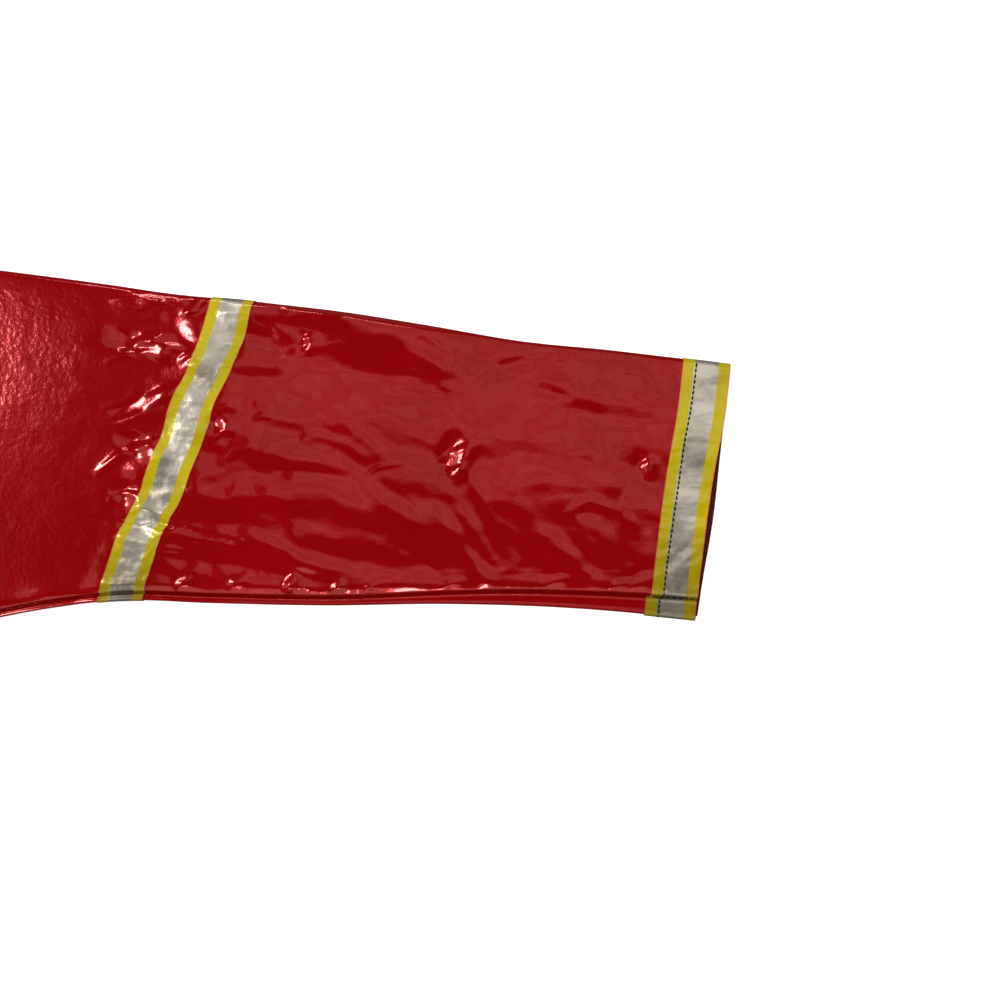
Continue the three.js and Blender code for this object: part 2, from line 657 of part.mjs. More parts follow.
// Where each press stud sits on the left front, on the centre line.
function studPlaces() {
  const lowest = hemY + STUD_FROM_HEM;
  const highest = neckPoint.y - FRONT_NECK_DROP - STUD_FROM_NECK;
  const places = [];
  for (let i = 0; i < STUD_COUNT; i++) {
    places.push(THREE.MathUtils.lerp(lowest, highest, i / (STUD_COUNT - 1)));
  }
  return places;
}

const vinyl = new THREE.MeshStandardMaterial({ color: 0x8c0a12, roughness: 0.18, metalness: 0 });
const tape = new THREE.MeshStandardMaterial({ color: 0xb9b2a4, roughness: 0.4, metalness: 0.5 });
const steel = new THREE.MeshStandardMaterial({ color: 0xb4b4b8, roughness: 0.3, metalness: 1 });

const coat = new THREE.Group();

function add(name, geometry, material, mirrored = false) {
  const mesh = new THREE.Mesh(geometry, material.clone());
  mesh.name = name;
  if (mirrored) mesh.scale.x = -1;
  coat.add(mesh);
  return mesh;
}

add("back", backGeometry(), vinyl);
add("front_right", frontGeometry(rightFrontFolds, false), vinyl, true);
add("front_left", frontGeometry(leftFrontFolds, true), vinyl);
add("collar", collarGeometry(), vinyl);

const sleeves = [
  { side: "left", folds: leftSleeveFolds, mirrored: false },
  { side: "right", folds: rightSleeveFolds, mirrored: true },
];
for (const { side, folds, mirrored } of sleeves) {
  add(`sleeve_${side}`, sleeveGeometry(folds), vinyl, mirrored);
  add(`band_tape_${side}`, tapeGeometry("band in", "band out", folds), tape, mirrored);
  add(`cuff_tape_${side}`, tapeGeometry("cuff tape in", "cuff", folds), tape, mirrored);
}

// The studs stand on the left front, where it lies over the right one.
const studLevel = 3 * WALL + 2 * SEAM_GAP + BODY_LOFT + SEAM_GAP;
studPlaces().forEach((y, i) => {
  add(`stud_${i + 1}`, studGeometry(), steel).position.set(0, y, studLevel);
});

export default coat;
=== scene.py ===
import math

import bpy
import numpy as np
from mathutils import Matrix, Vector


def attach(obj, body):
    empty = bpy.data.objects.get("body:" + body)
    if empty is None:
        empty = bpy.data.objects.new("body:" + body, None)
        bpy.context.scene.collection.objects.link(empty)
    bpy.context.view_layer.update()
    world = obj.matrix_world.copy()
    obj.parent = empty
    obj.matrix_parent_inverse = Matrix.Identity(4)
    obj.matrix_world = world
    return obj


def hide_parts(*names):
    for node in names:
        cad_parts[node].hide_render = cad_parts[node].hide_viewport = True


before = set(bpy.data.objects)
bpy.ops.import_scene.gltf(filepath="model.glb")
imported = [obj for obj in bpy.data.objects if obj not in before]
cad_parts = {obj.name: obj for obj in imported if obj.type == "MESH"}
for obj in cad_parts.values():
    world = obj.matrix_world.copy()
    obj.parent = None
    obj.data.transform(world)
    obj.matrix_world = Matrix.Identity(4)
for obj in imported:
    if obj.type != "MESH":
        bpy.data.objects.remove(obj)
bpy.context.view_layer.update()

# A child's firefighter-style raincoat, closed and laid on its back. Lengths are in millimetres, and
# are turned to metres only where a mesh, a light or the camera is made. X runs to the wearer's left,
# Y towards the collar, Z up from the surface that the coat lies on.
MM = 0.001

# The cloth and the tape, at nearly their real thickness.
CLOTH = 0.6
TAPE = 0.35
TAPE_GAP = 0.06
TAPE_LIFT = TAPE + TAPE_GAP
FOLD_RADIUS = 1.5
EDGE_HEIGHT = 3.0

# The body.
BODY_LENGTH = 610.0
COLLAR_RISE = 33.0
HEM_HALF = 225.0
HEM_RISE = 9.0
CHEST_HALF = 203.0
SHOULDER_HALF = 165.0
SHOULDER_DROP = 24.0
ARMHOLE_DEPTH = 161.0
ARMHOLE_HOLLOW = 14.0
ARMHOLE_BEND_AT = 0.4
NECK_HALF = 62.0
FRONT_NECK_DROP = 55.0
BACK_NECK_DROP = 15.0
OVERLAP_HALF = 25.0
BODY_LOFT = 2.0
SEAM_GAP = 0.3
BODY_WALL = 1.2

# The sleeve.
SLEEVE_TOP_LENGTH = 367.0
SLEEVE_TOP_SLOPE = 8.1
CUFF_WIDTH = 106.0
CUFF_LEAN = 7.3
SLEEVE_CROWN = 1.9
TAPE_WIDTH = 19.0
BAND_TOP_FROM_SHOULDER = 154.0
BAND_LOW_FROM_ARMPIT = 65.4
BAND_TOP_HALF = 9.3
BAND_LOW_HALF = 10.2
BAND_KINK_REACH = 0.12
CUFF_DRAW_FROM = 0.85

# Places that the pieces share, on the wearer's left.
HEM_Y = -(BODY_LENGTH + COLLAR_RISE) / 2
NECK_POINT = np.array([NECK_HALF, HEM_Y + BODY_LENGTH])
SHOULDER = np.array([SHOULDER_HALF, NECK_POINT[1] - SHOULDER_DROP])
ARMPIT = np.array([CHEST_HALF, SHOULDER[1] - ARMHOLE_DEPTH])
HEM_CORNER = np.array([HEM_HALF, HEM_Y + HEM_RISE])


def turned(degrees, distance):
    """A step of a distance in a direction."""
    angle = math.radians(degrees)
    return distance * np.array([math.cos(angle), math.sin(angle)])


CUFF_TOP = SHOULDER + turned(-SLEEVE_TOP_SLOPE, SLEEVE_TOP_LENGTH)
CUFF_LOW = CUFF_TOP + turned(-90 - CUFF_LEAN, CUFF_WIDTH)
LOW_LENGTH = CUFF_LOW[0] - ARMPIT[0]
TOP_LENGTH = CUFF_TOP[0] - SHOULDER[0]
TAPE_ACROSS = TAPE_WIDTH / math.cos(math.radians(CUFF_LEAN))

# Edges of the sleeve, as (share along, millimetres out), as in the part's source.
UNDERARM_EDGE = [(0, 0), (0.1, 5.6), (0.21, 9.2), (0.33, 7.9), (0.5, 6.6), (0.66, 7.0), (0.83, 5.1),
                 (0.93, 2.5), (1, 0)]
TOP_EDGE = [(0, 0), (0.28, 0), (0.34, -0.4), (0.46, 0.9), (0.56, 1.3), (0.65, 0.3), (0.77, -1.4),
            (0.86, -0.4), (1, 0)]
SEAM_ROLL = [(0, 3.2), (0.3, 3.7), (0.6, 4.1), (0.74, 5.8), (0.87, 7.0), (1, 8.6)]
BAND_DRIFT = [(0, 0), (0.13, -1.0), (0.24, -1.2), (0.34, 1.5), (0.44, 1.2), (0.55, 1.7), (0.65, 0.4),
              (0.77, 2.2), (0.88, 2.0), (1, 0)]
CUFF_FRONT_DRIFT = [(0, -0.8), (0.12, -1.3), (0.3, -1.6), (0.45, -1.6), (0.62, -1.0), (0.75, 0), (1, 0)]
CUFF_BACK_DRIFT = [(0, 0), (0.15, 0.3), (0.38, 1.3), (0.65, 0.8), (1, 0)]

# Creases of the cloth, as (path, half width, height, skew). A trough's height is
# below 0, and the skew leans a ridge to the left of its path.
LEFT_SLEEVE_CREASES = [
    ([(264, 244), (275, 245), (282, 243), (291, 242), (299, 241)], 1.2, 0.75, 0.3),
    ([(267, 241), (278, 238), (286, 240), (294, 243)], 1.2, -0.4, 0.3),
    ([(296, 236), (301, 239), (306, 244)], 1.1, 0.7, 0.4),
    ([(299, 237), (305, 239), (310, 243)], 1.0, 0.6, 0.2),
    ([(263, 218), (272, 222), (278, 226), (286, 227), (292, 228)], 1.8, 0.55, 0.5),
    ([(259, 170), (269, 178), (277, 182), (285, 180)], 1.8, 0.6, 0.4),
    ([(263, 158), (271, 161), (276, 159), (279, 155)], 1.3, 0.5, 0.3),
    ([(255, 152), (269, 148), (279, 146), (287, 147), (295, 146), (305, 143), (313, 142), (323, 139)],
     1.4, -0.8, 0.6),
    ([(293, 148), (299, 146), (306, 144), (314, 143), (324, 140)], 0.9, 0.4, 0.2),
    ([(298, 148), (300, 146)], 0.9, 0.22, 0.2),
    ([(312, 144), (316, 141)], 1.0, 0.3, 0.2),
    ([(319, 142), (319, 139)], 0.8, 0.2, 0.2),
    ([(321, 140), (326, 139)], 1.1, 0.28, 0.2),
    ([(272, 224), (277, 227), (282, 226), (289, 230)], 1.6, 0.6, 0.4),
    ([(271, 220), (277, 222), (284, 222)], 1.3, 0.45, 0.3),
    ([(293, 216), (297, 219), (302, 220)], 1.3, 0.5, 0.3),
    ([(272, 178), (278, 180), (285, 183)], 1.3, 0.5, 0.3),
    ([(286, 142), (296, 144), (304, 141), (314, 139), (326, 135)], 2.2, 0.5, 0.2),
    ([(280, 131), (286, 136), (294, 136), (302, 134)], 1.5, 0.5, 0.3),
    ([(309, 183), (313, 186), (318, 185)], 1.3, 0.4, 0.2),
    ([(312, 195), (317, 197), (322, 195)], 1.2, 0.35, 0.2),
    ([(328, 191), (332, 193), (336, 192)], 1.0, 0.35, 0.2),
    ([(344, 220), (348, 225), (355, 227)], 1.1, 0.4, 0.3),
    ([(376, 167), (382, 171), (389, 172), (395, 173)], 0.9, 0.3, 0.2),
    ([(403, 168), (410, 175), (417, 178), (425, 181)], 1.6, 0.35, 0.3),
    ([(405, 173), (413, 171), (421, 174)], 1.2, -0.3, 0.2),
    ([(484, 152), (485, 157), (487, 161)], 0.8, 0.25, 0.1),
    ([(490, 167), (493, 171), (497, 174)], 1.2, 0.35, 0.3),
    ([(455, 214), (458, 216), (462, 215)], 0.9, 0.3, 0.1),
    ([(357, 238), (365, 236), (379, 234)], 1.0, 0.5, 0.2),
    ([(331, 240), (338, 240), (346, 238)], 1.0, 0.55, 0.2),
    ([(475, 217), (481, 214), (486, 210), (492, 210)], 1.1, 0.35, 0.3),
    ([(458, 150), (471, 156), (483, 152), (492, 145)], 2.2, 0.5, 0.4),
    ([(414, 171), (421, 160), (426, 149), (430, 132)], 2.4, -0.55, 0.4),
    ([(348, 183), (357, 184), (368, 180), (379, 173)], 2.4, 0.5, 0.3),
    ([(331, 175), (340, 170), (356, 169), (370, 166)], 2.2, -0.45, 0.3),
    ([(313, 172), (320, 178), (328, 180)], 1.8, 0.35, 0.3),
    ([(308, 144), (326, 142), (343, 135), (361, 124)], 3.0, 0.6, 0.4),
    ([(432, 149), (442, 140), (446, 130)], 2.4, 0.35, 0.3),
    ([(386, 140), (401, 132), (412, 122)], 2.6, -0.5, 0.3),
    ([(326, 235), (333, 231), (335, 224)], 2.0, -0.4, 0.2),
    ([(421, 219), (433, 213), (446, 215), (457, 220)], 2.2, -0.3, 0.3),
    ([(399, 225), (410, 216), (413, 204)], 2.4, -0.35, 0.3),
    ([(343, 116), (345, 121), (348, 126)], 2.6, 1.35, 0.4),
    ([(349, 119), (352, 122)], 1.4, 0.6, 0.2),
    ([(362, 117), (365, 120), (369, 121)], 2.4, 1.1, 0.3),
    ([(377, 117), (378, 120), (382, 121)], 1.5, 0.7, 0.3),
    ([(318, 118), (321, 122), (328, 125)], 2.2, 0.6, 0.3),
    ([(408, 118), (412, 122), (419, 123)], 1.8, 0.5, 0.3),
    ([(450, 119), (455, 123), (463, 125)], 2.0, 0.6, 0.3),
    ([(478, 117), (482, 121), (488, 124)], 1.8, 0.6, 0.3),
    ([(295, 117), (297, 121), (302, 124)], 1.8, 0.6, 0.3),
]
RIGHT_SLEEVE_CREASES = [
    ([(250, 150), (280, 146), (310, 150)], 3.0, -1.2, 0.4),
    ([(300, 190), (330, 180), (352, 168)], 4.0, 1.0, 0.0),
]

# Soft tilted faces of the cloth, as (middle, direction of the long axis, half length, half width,
# slope). The slope rises to the left of the long axis where it is above 0.
LEFT_SLEEVE_FACES = [
    ((377, 221), -10, 31, 17.6, 0.27),
    ((358, 233), -12, 13, 6.3, 0.2),
    ((403, 211), -20, 12, 6.7, 0.2),
    ((399, 203), -3, 14, 3.8, 0.2),
    ((331, 228), -22, 14, 5.0, 0.16),
    ((328, 212), -4, 14, 4.2, 0.17),
    ((456, 204), -10, 8, 3.8, 0.18),
    ((433, 213), 25, 10, 3.8, 0.15),
    ((477, 195), -12, 18, 4.2, 0.15),
    ((481, 217), -3, 12, 2.5, 0.22),
    ((500, 210), -45, 7, 3.8, 0.18),
    ((373, 180), -38, 16, 6.7, 0.16),
    ((341, 171), -10, 21, 5.5, 0.15),
    ((310, 166), 10, 9, 4.2, 0.09),
    ((324, 152), -6, 25, 9.2, 0.13),
    ((361, 152), -12, 25, 7.6, 0.09),
    ((399, 144), -20, 21, 8.0, 0.09),
    ((419, 128), -35, 19, 5.5, 0.08),
    ((425, 152), -58, 24, 4.2, 0.14),
    ((448, 137), -50, 20, 8.4, 0.1),
    ((488, 140), -80, 19, 7.6, 0.09),
    ((471, 155), 0, 13, 3.8, 0.07),
    ((310, 136), -6, 24, 5.0, 0.11),
    ((290, 129), -40, 6, 3.4, 0.05),
    ((279, 236), -5, 13, 5.9, 0.14),
    ((297, 232), -60, 11, 5.9, 0.16),
    ((279, 191), 0, 13, 7.6, 0.12),
    ((281, 166), -8, 13, 5.0, 0.12),
    ((334, 183), -8, 25, 6.7, -0.05),
    ((326, 125), -6, 34, 4.6, -0.17),
    ((363, 129), -14, 25, 5.9, -0.14),
    ((378, 129), -12, 26, 5.9, -0.15),
    ((292, 123), -5, 13, 3.4, -0.16),
    ((420, 138), -55, 22, 3.8, -0.18),
    ((391, 155), -38, 15, 3.8, -0.14),
    ((467, 168), -5, 29, 6.7, -0.06),
    ((408, 170), -10, 29, 8.4, -0.05),
    ((467, 133), -45, 12, 3.8, -0.18),
    ((478, 144), -55, 8, 4.2, -0.07),
    ((492, 125), 20, 8, 3.4, -0.18),
    ((295, 223), 0, 9, 3.8, -0.06),
    ((343, 220), 28, 14, 2.9, -0.05),
    ((442, 222), -5, 25, 4.2, -0.03),
    ((308, 189), -60, 8, 3.4, -0.06),
    ((331, 232), -10, 18, 9.2, 0.24),
    ((318, 230), -60, 10, 5.0, 0.12),
    ((348, 221), 18, 13, 2.5, -0.14),
    ((324, 202), -5, 11, 4.2, -0.04),
    ((281, 224), 71, 4, 12.6, -0.25),
    ((297, 217), 65, 3, 7.6, -0.28),
    ((280, 200), 107, 3, 11.8, -0.16),
    ((280, 179), 55, 4, 9.2, -0.23),
    ((274, 158), 44, 4, 7.6, -0.27),
    ((313, 189), 80, 3, 5.0, -0.3),
    ((415, 175), 65, 9, 5.9, -0.47),
    ((494, 171), 75, 4, 3.8, -0.5),
    ((350, 224), 71, 4, 3.4, -0.31),
    ((513, 126), 20, 8, 5.0, 0.2),
    ((510, 134), 40, 7, 2.5, -0.2),
    ((514, 154), -10, 8, 4.6, 0.14),
    ((518, 177), 0, 7, 3.8, -0.12),
    ((519, 205), 10, 7, 3.4, 0.15),
    ((519, 195), 0, 7, 2.9, -0.14),
    ((318, 239), 0, 6, 3.4, -0.2),
    ((315, 228), 0, 7, 3.4, 0.13),
    ((313, 217), -5, 7, 3.4, -0.12),
    ((301, 195), -10, 7, 3.4, -0.14),
    ((298, 184), -10, 7, 3.8, 0.15),
    ((293, 162), -15, 8, 3.8, -0.14),
    ((284, 150), -14, 8, 3.4, 0.44),
    ((278, 142), -14, 8, 3.8, -0.36),
    ((274, 134), -15, 6, 3.4, 0.2),
    ((270, 123), 0, 6, 3.8, -0.12),
]
RIGHT_SLEEVE_FACES = [
    ((240, 200), -10, 22, 7.0, 0.15),
    ((280, 206), -16, 26, 7.5, 0.14),
    ((330, 214), 12, 20, 4.5, 0.1),
    ((300, 176), -34, 18, 4.0, -0.12),
    ((352, 190), -24, 26, 6.0, 0.12),
    ((378, 150), -50, 22, 4.5, -0.12),
    ((410, 204), -6, 24, 5.0, 0.13),
    ((420, 166), -30, 24, 6.0, 0.1),
    ((460, 186), -55, 18, 5.0, -0.1),
    ((446, 140), -12, 26, 5.0, -0.12),
    ((484, 160), -70, 20, 6.0, 0.1),
    ((330, 140), -14, 30, 5.0, -0.11),
    ((262, 150), -8, 22, 5.0, 0.1),
    ((222, 168), -60, 18, 6.0, 0.12),
    ((400, 130), 4, 20, 5.0, 0.08),
]
LEFT_FRONT_CREASES = [
    ([(196, 118), (176, 132), (150, 150), (128, 158)], 5.0, 2.8, 0.5),
    ([(192, 98), (166, 96), (140, 84), (120, 66)], 7.0, 2.6, -0.4),
    ([(186, 60), (170, 20), (164, -26), (170, -70)], 9.0, 2.7, 0.4),
    ([(120, 40), (104, -10), (96, -60), (98, -120)], 8.0, -1.3, 0.3),
    ([(84, -150), (92, -200), (86, -250)], 8.0, 2.4, -0.5),
    ([(200, -150), (186, -210), (192, -262)], 9.0, 2.6, 0.4),
    ([(140, -140), (146, -190), (136, -240)], 7.0, -1.2, 0.2),
    ([(78, 196), (96, 176), (120, 166)], 6.0, 1.6, 0.3),
    ([(64, 60), (76, 20), (70, -30)], 7.0, 1.5, 0.3),
    ([(150, 230), (142, 206), (146, 184)], 5.0, 1.5, -0.3),
    ([(206, -20), (176, -44), (136, -52), (104, -44)], 7.0, 2.5, 0.5),
    ([(212, -96), (180, -116), (150, -112), (118, -126), (92, -120)], 8.0, 2.9, -0.4),
    ([(216, -212), (184, -226), (160, -220)], 7.0, 2.2, 0.3),
    ([(70, -232), (104, -244), (130, -262)], 7.0, 2.2, 0.3),
    ([(66, -84), (90, -96), (112, -92)], 6.0, 1.8, -0.3),
    ([(86, 118), (116, 112), (138, 122)], 6.0, 1.7, 0.4),
]
RIGHT_FRONT_CREASES = [
    ([(194, 124), (170, 144), (140, 168), (120, 172)], 6.0, 2.8, -0.4),
    ([(190, 92), (160, 84), (130, 64)], 6.0, 2.3, 0.5),
    ([(178, 70), (172, 24), (180, -30)], 8.0, -1.2, 0.3),
    ([(116, 30), (122, -30), (114, -100), (120, -140)], 9.0, 2.7, 0.4),
    ([(78, -110), (84, -170), (76, -226)], 8.0, -1.2, 0.2),
    ([(176, -120), (164, -190), (172, -260)], 9.0, 2.6, -0.4),
    ([(70, 150), (88, 110), (84, 60)], 7.0, 2.0, 0.4),
    ([(204, -60), (198, -110)], 6.0, 1.6, 0.0),
    ([(130, 222), (138, 196)], 5.0, 1.4, 0.3),
    ([(200, 20), (170, -6), (140, -10), (112, -26)], 7.0, 2.5, 0.4),
    ([(214, -150), (184, -142), (150, -158), (128, -150)], 8.0, 2.8, -0.4),
    ([(72, -40), (92, -58), (104, -60)], 6.0, 1.9, 0.3),
    ([(218, -246), (190, -238), (150, -256), (120, -250)], 7.0, 2.4, 0.4),
    ([(66, -200), (96, -214)], 6.0, 1.8, -0.3),
    ([(92, 10), (72, 24), (66, 48)], 6.0, 1.5, 0.3),
]
BACK_CREASES = [
    ([(-150, 130), (-100, 90), (-60, 80)], 9.0, 1.2, 0.3),
    ([(160, 120), (120, 70), (110, 10)], 9.0, 1.3, -0.3),
    ([(-90, 0), (-104, -80), (-92, -160)], 10.0, 1.2, 0.3),
    ([(40, -40), (30, -130), (44, -210)], 10.0, 1.1, 0.4),
    ([(150, -110), (140, -190), (150, -260)], 9.0, 1.3, -0.4),
    ([(-170, -90), (-160, -180)], 9.0, 1.0, 0.3),
]

# Crumpling of the vinyl: the direction that it is drawn out in, the lengths of its waves along and
# across that direction, and their heights.
GRAIN = -26
BEND_LENGTHS, BEND = (34, 26), 7
BROAD_LENGTHS, BROAD = (58, 32), 0.85
MIDDLE_LENGTHS, MIDDLE = (24, 14), 0.5
SMALL_LENGTHS, SMALL = (10, 7), 0.17
TINY_LENGTHS, TINY = (4.5, 4.5), 0.03
DENT_LENGTHS, DENT = (17, 12), 0.45
DENT_LEVEL = 0.25
DENT_SOFTNESS = 0.004
CREASE_TAPER = 0.6
HASH_X, HASH_Y, HASH_SEED, HASH_SCALE = 127.1, 311.7, 74.7, 43758.5453


def look_up(table, along):
    """Smooth values of a table of (share, value) rows at an array of shares."""
    places = np.array([row[0] for row in table], float)
    values = np.array([row[1] for row in table], float)
    slopes = np.gradient(values, places)
    along = np.clip(along, places[0], places[-1])
    i = np.clip(np.searchsorted(places, along, side="right") - 1, 0, len(places) - 2)
    span = places[i + 1] - places[i]
    t = (along - places[i]) / span
    return (values[i] * (1 + 2 * t) * (1 - t) ** 2 + values[i + 1] * t * t * (3 - 2 * t)
            + span * slopes[i] * t * (1 - t) ** 2 - span * slopes[i + 1] * t * t * (1 - t))


def smoothstep(x, start, end):
    """A soft step from 0 at a start to 1 at an end."""
    t = np.clip((x - start) / (end - start), 0, 1)
    return t * t * (3 - 2 * t)


def rounded(distance, radius):
    """A quarter circle's rise, from 0 at an edge to 1 at a radius from it."""
    return np.sqrt(1 - (1 - np.clip(distance / radius, 0, 1)) ** 2)


def gradient_noise(x, y, seed):
    """Smooth noise from -0.7 to 0.7 with features one unit across."""
    i, j = np.floor(x), np.floor(y)
    u, v = x - i, y - j

    def corner(di, dj):
        value = np.sin((i + di) * HASH_X + (j + dj) * HASH_Y + seed * HASH_SEED) * HASH_SCALE
        angle = 2 * math.pi * (value - np.floor(value))
        return np.cos(angle) * (u - di) + np.sin(angle) * (v - dj)

    fade_u = u * u * u * (u * (u * 6 - 15) + 10)
    fade_v = v * v * v * (v * (v * 6 - 15) + 10)
    low = corner(0, 0) + fade_u * (corner(1, 0) - corner(0, 0))
    high = corner(0, 1) + fade_u * (corner(1, 1) - corner(0, 1))
    return low + fade_v * (high - low)


def crease_height(creases, x, y):
    """Height that a list of creases adds at arrays of points."""
    total = np.zeros_like(x)
    for path, wide, high, skew in creases:
        path = np.array(path, float)
        steps = np.diff(path, axis=0)
        lengths = np.hypot(steps[:, 0], steps[:, 1])
        whole = lengths.sum()
        best = np.full(x.shape, np.inf)
        side = np.zeros_like(x)
        along = np.zeros_like(x)
        start = 0.0
        for (px, py), (dx, dy), length in zip(path, steps, lengths):
            t = np.clip(((x - px) * dx + (y - py) * dy) / length ** 2, 0, 1)
            gap = np.hypot(x - px - t * dx, y - py - t * dy)
            nearer = gap < best
            best = np.where(nearer, gap, best)
            side = np.where(nearer, np.sign((y - py) * dx - (x - px) * dy), side)
            along = np.where(nearer, (start + t * length) / whole, along)
            start += length
        distance = best / wide
        taper = np.sin(np.pi * np.clip(along, 0, 1)) ** CREASE_TAPER
        lean = 1 + skew * side * distance * np.exp(-distance)
        total += high * taper * lean * np.exp(-distance ** 2)
    return total


def face_height(faces, x, y):
    """Height that a list of soft faces adds at arrays of points."""
    total = np.zeros_like(x)
    for (middle_x, middle_y), turn, long, wide, tilt in faces:
        turn = math.radians(turn)
        dx, dy = x - middle_x, y - middle_y
        along = dx * math.cos(turn) + dy * math.sin(turn)
        across = dy * math.cos(turn) - dx * math.sin(turn)
        fall = np.exp(-((along / long) ** 4) - np.abs(across / wide) ** 3)
        total += tilt * across * fall
    return total


def crumple(x, y, seed):
    """Soft uneven waves and dents of vinyl cloth, drawn out towards the lower right."""
    turn = math.radians(GRAIN)
    along = x * math.cos(turn) + y * math.sin(turn)
    across = y * math.cos(turn) - x * math.sin(turn)

    def waves(a, b, lengths, number):
        return gradient_noise(a / lengths[0], b / lengths[1], seed + number)

    bend = BEND * waves(along, across, BEND_LENGTHS, 5)
    broad = waves(along, across + bend, BROAD_LENGTHS, 0)
    middle = waves(along + bend, across + bend, MIDDLE_LENGTHS, 1)
    small = waves(along - bend, across - bend, SMALL_LENGTHS, 2)
    tiny = waves(x, y, TINY_LENGTHS, 6)
    dents = np.sqrt(waves(along - bend, across + bend, DENT_LENGTHS, 3) ** 2 + DENT_SOFTNESS)
    return BROAD * broad + MIDDLE * middle + SMALL * small + TINY * tiny + DENT * (DENT_LEVEL - dents)


# Meshes.
SHARP_ANGLE = math.radians(38)


def add_piece(name, points, faces, materials, replaced=None):
    """A smooth piece of points in millimetres, which may stand for a solid of the model."""
    mesh = bpy.data.meshes.new(name)
    mesh.from_pydata((np.array(points) * MM).tolist(), [], faces)
    for material in materials:
        mesh.materials.append(material)
    mesh.shade_smooth()
    piece = bpy.data.objects.new(name, mesh)
    bpy.context.scene.collection.objects.link(piece)
    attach(piece, "root")
    if replaced:
        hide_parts(replaced)
    return piece


def add_cloth(name, points, faces, materials, replaced, uvs=None, lined=(0, 0)):
    """A piece of cloth. Its quads from a first to a last take the second material."""
    piece = add_piece(name, points, faces.tolist(), materials, replaced)
    mesh = piece.data
    if uvs is not None:
        layer = mesh.uv_layers.new(name=CLOTH_MAP)
        loops = np.empty(len(mesh.loops), dtype=np.int32)
        mesh.loops.foreach_get("vertex_index", loops)
        layer.data.foreach_set("uv", np.asarray(uvs, dtype=np.float32)[loops].ravel())
    indices = np.zeros(len(mesh.polygons), dtype=np.int32)
    indices[lined[0]:lined[1]] = 1
    mesh.polygons.foreach_set("material_index", indices)
    mesh.set_sharp_from_angle(angle=SHARP_ANGLE)
    mesh.update()
    return piece


def grid_faces(rows, columns, first, ringed, flipped):
    """Quads of a grid of points, stored row by row from a first index."""
    r, c = np.meshgrid(np.arange(rows - 1), np.arange(columns if ringed else columns - 1), indexing="ij")
    right = (c + 1) % columns
    quads = np.stack([r * columns + c, (r + 1) * columns + c, (r + 1) * columns + right,
                      r * columns + right], axis=-1).reshape(-1, 4) + first
    return quads[:, ::-1] if flipped else quads


def shell(outer, inner, ringed):
    """Points and quads of a closed wall between two grids. Only a ringed wall may have fewer rows
    inside than outside."""
    rows, columns = outer.shape[:2]
    inner_rows = inner.shape[0]
    inside = rows * columns
    points = np.concatenate([outer.reshape(-1, 3), inner.reshape(-1, 3)])
    faces = [grid_faces(rows, columns, 0, ringed, True),
             grid_faces(inner_rows, columns, inside, ringed, False)]
    c = np.arange(columns if ringed else columns - 1)
    right = (c + 1) % columns
    last, inner_last = (rows - 1) * columns, inside + (inner_rows - 1) * columns
    faces.append(np.stack([c, inside + c, inside + right, right], axis=-1))
    faces.append(np.stack([last + right, inner_last + right, inner_last + c, last + c], axis=-1))
    if not ringed:
        r = np.arange(rows - 1) * columns
        end = columns - 1
        faces.append(np.stack([r, r + columns, inside + r + columns, inside + r], axis=-1))
        faces.append(np.stack([r + end + columns, r + end, inside + r + end, inside + r + end + columns],
                              axis=-1))
    return points, np.concatenate(faces)


def inside_faces(outer, inner, ringed):
    """The first and last quads of a shell's second grid."""
    columns = outer.shape[1] if ringed else outer.shape[1] - 1
    first = (outer.shape[0] - 1) * columns
    return first, first + (inner.shape[0] - 1) * columns


def side_flip(mirror):
    """What points are multiplied by for the wearer's left, or for the right if they are mirrored."""
    return np.array([-1 if mirror else 1, 1, 1])


def mirrored(points, faces, mirror):
    """The same mesh for the other side of the coat, if it is asked for."""
    return points * side_flip(mirror), faces[:, ::-1] if mirror else faces


# The sleeve's grid. Its rows are closer on the tapes, and its columns at the seam's groove.
SLEEVE_STEP = 1.05
TAPE_STEP = 0.6
TAPE_RAMP = 12.0
INNER_STEP = 6
TOP_COLUMNS = 144
UNDER_COLUMNS = 16
FOLD_COLUMNS = 8
LOWER_COLUMNS = 5
GROOVE_OFFSETS = [6.0, 5.3, 4.6, 4.0, 3.4, 2.9, 2.4, 2.0, 1.6, 1.25, 0.95, 0.7, 0.5, 0.3, 0.15, 0.0,
                  -0.15, -0.35, -0.6, -0.9, -1.3]
FIRST_UPPER = UNDER_COLUMNS + FOLD_COLUMNS
SEAM_COLUMN = FIRST_UPPER + TOP_COLUMNS + GROOVE_OFFSETS.index(0.0)

# The tapes' edges, as the distance from the armpit and from the shoulder.
BAND_IN = (BAND_LOW_FROM_ARMPIT - BAND_LOW_HALF, BAND_TOP_FROM_SHOULDER - BAND_TOP_HALF)
BAND_OUT = (BAND_LOW_FROM_ARMPIT + BAND_LOW_HALF, BAND_TOP_FROM_SHOULDER + BAND_TOP_HALF)
CUFF_IN = (LOW_LENGTH - TAPE_ACROSS, TOP_LENGTH - TAPE_ACROSS)
CUFF_OUT = (LOW_LENGTH, TOP_LENGTH)

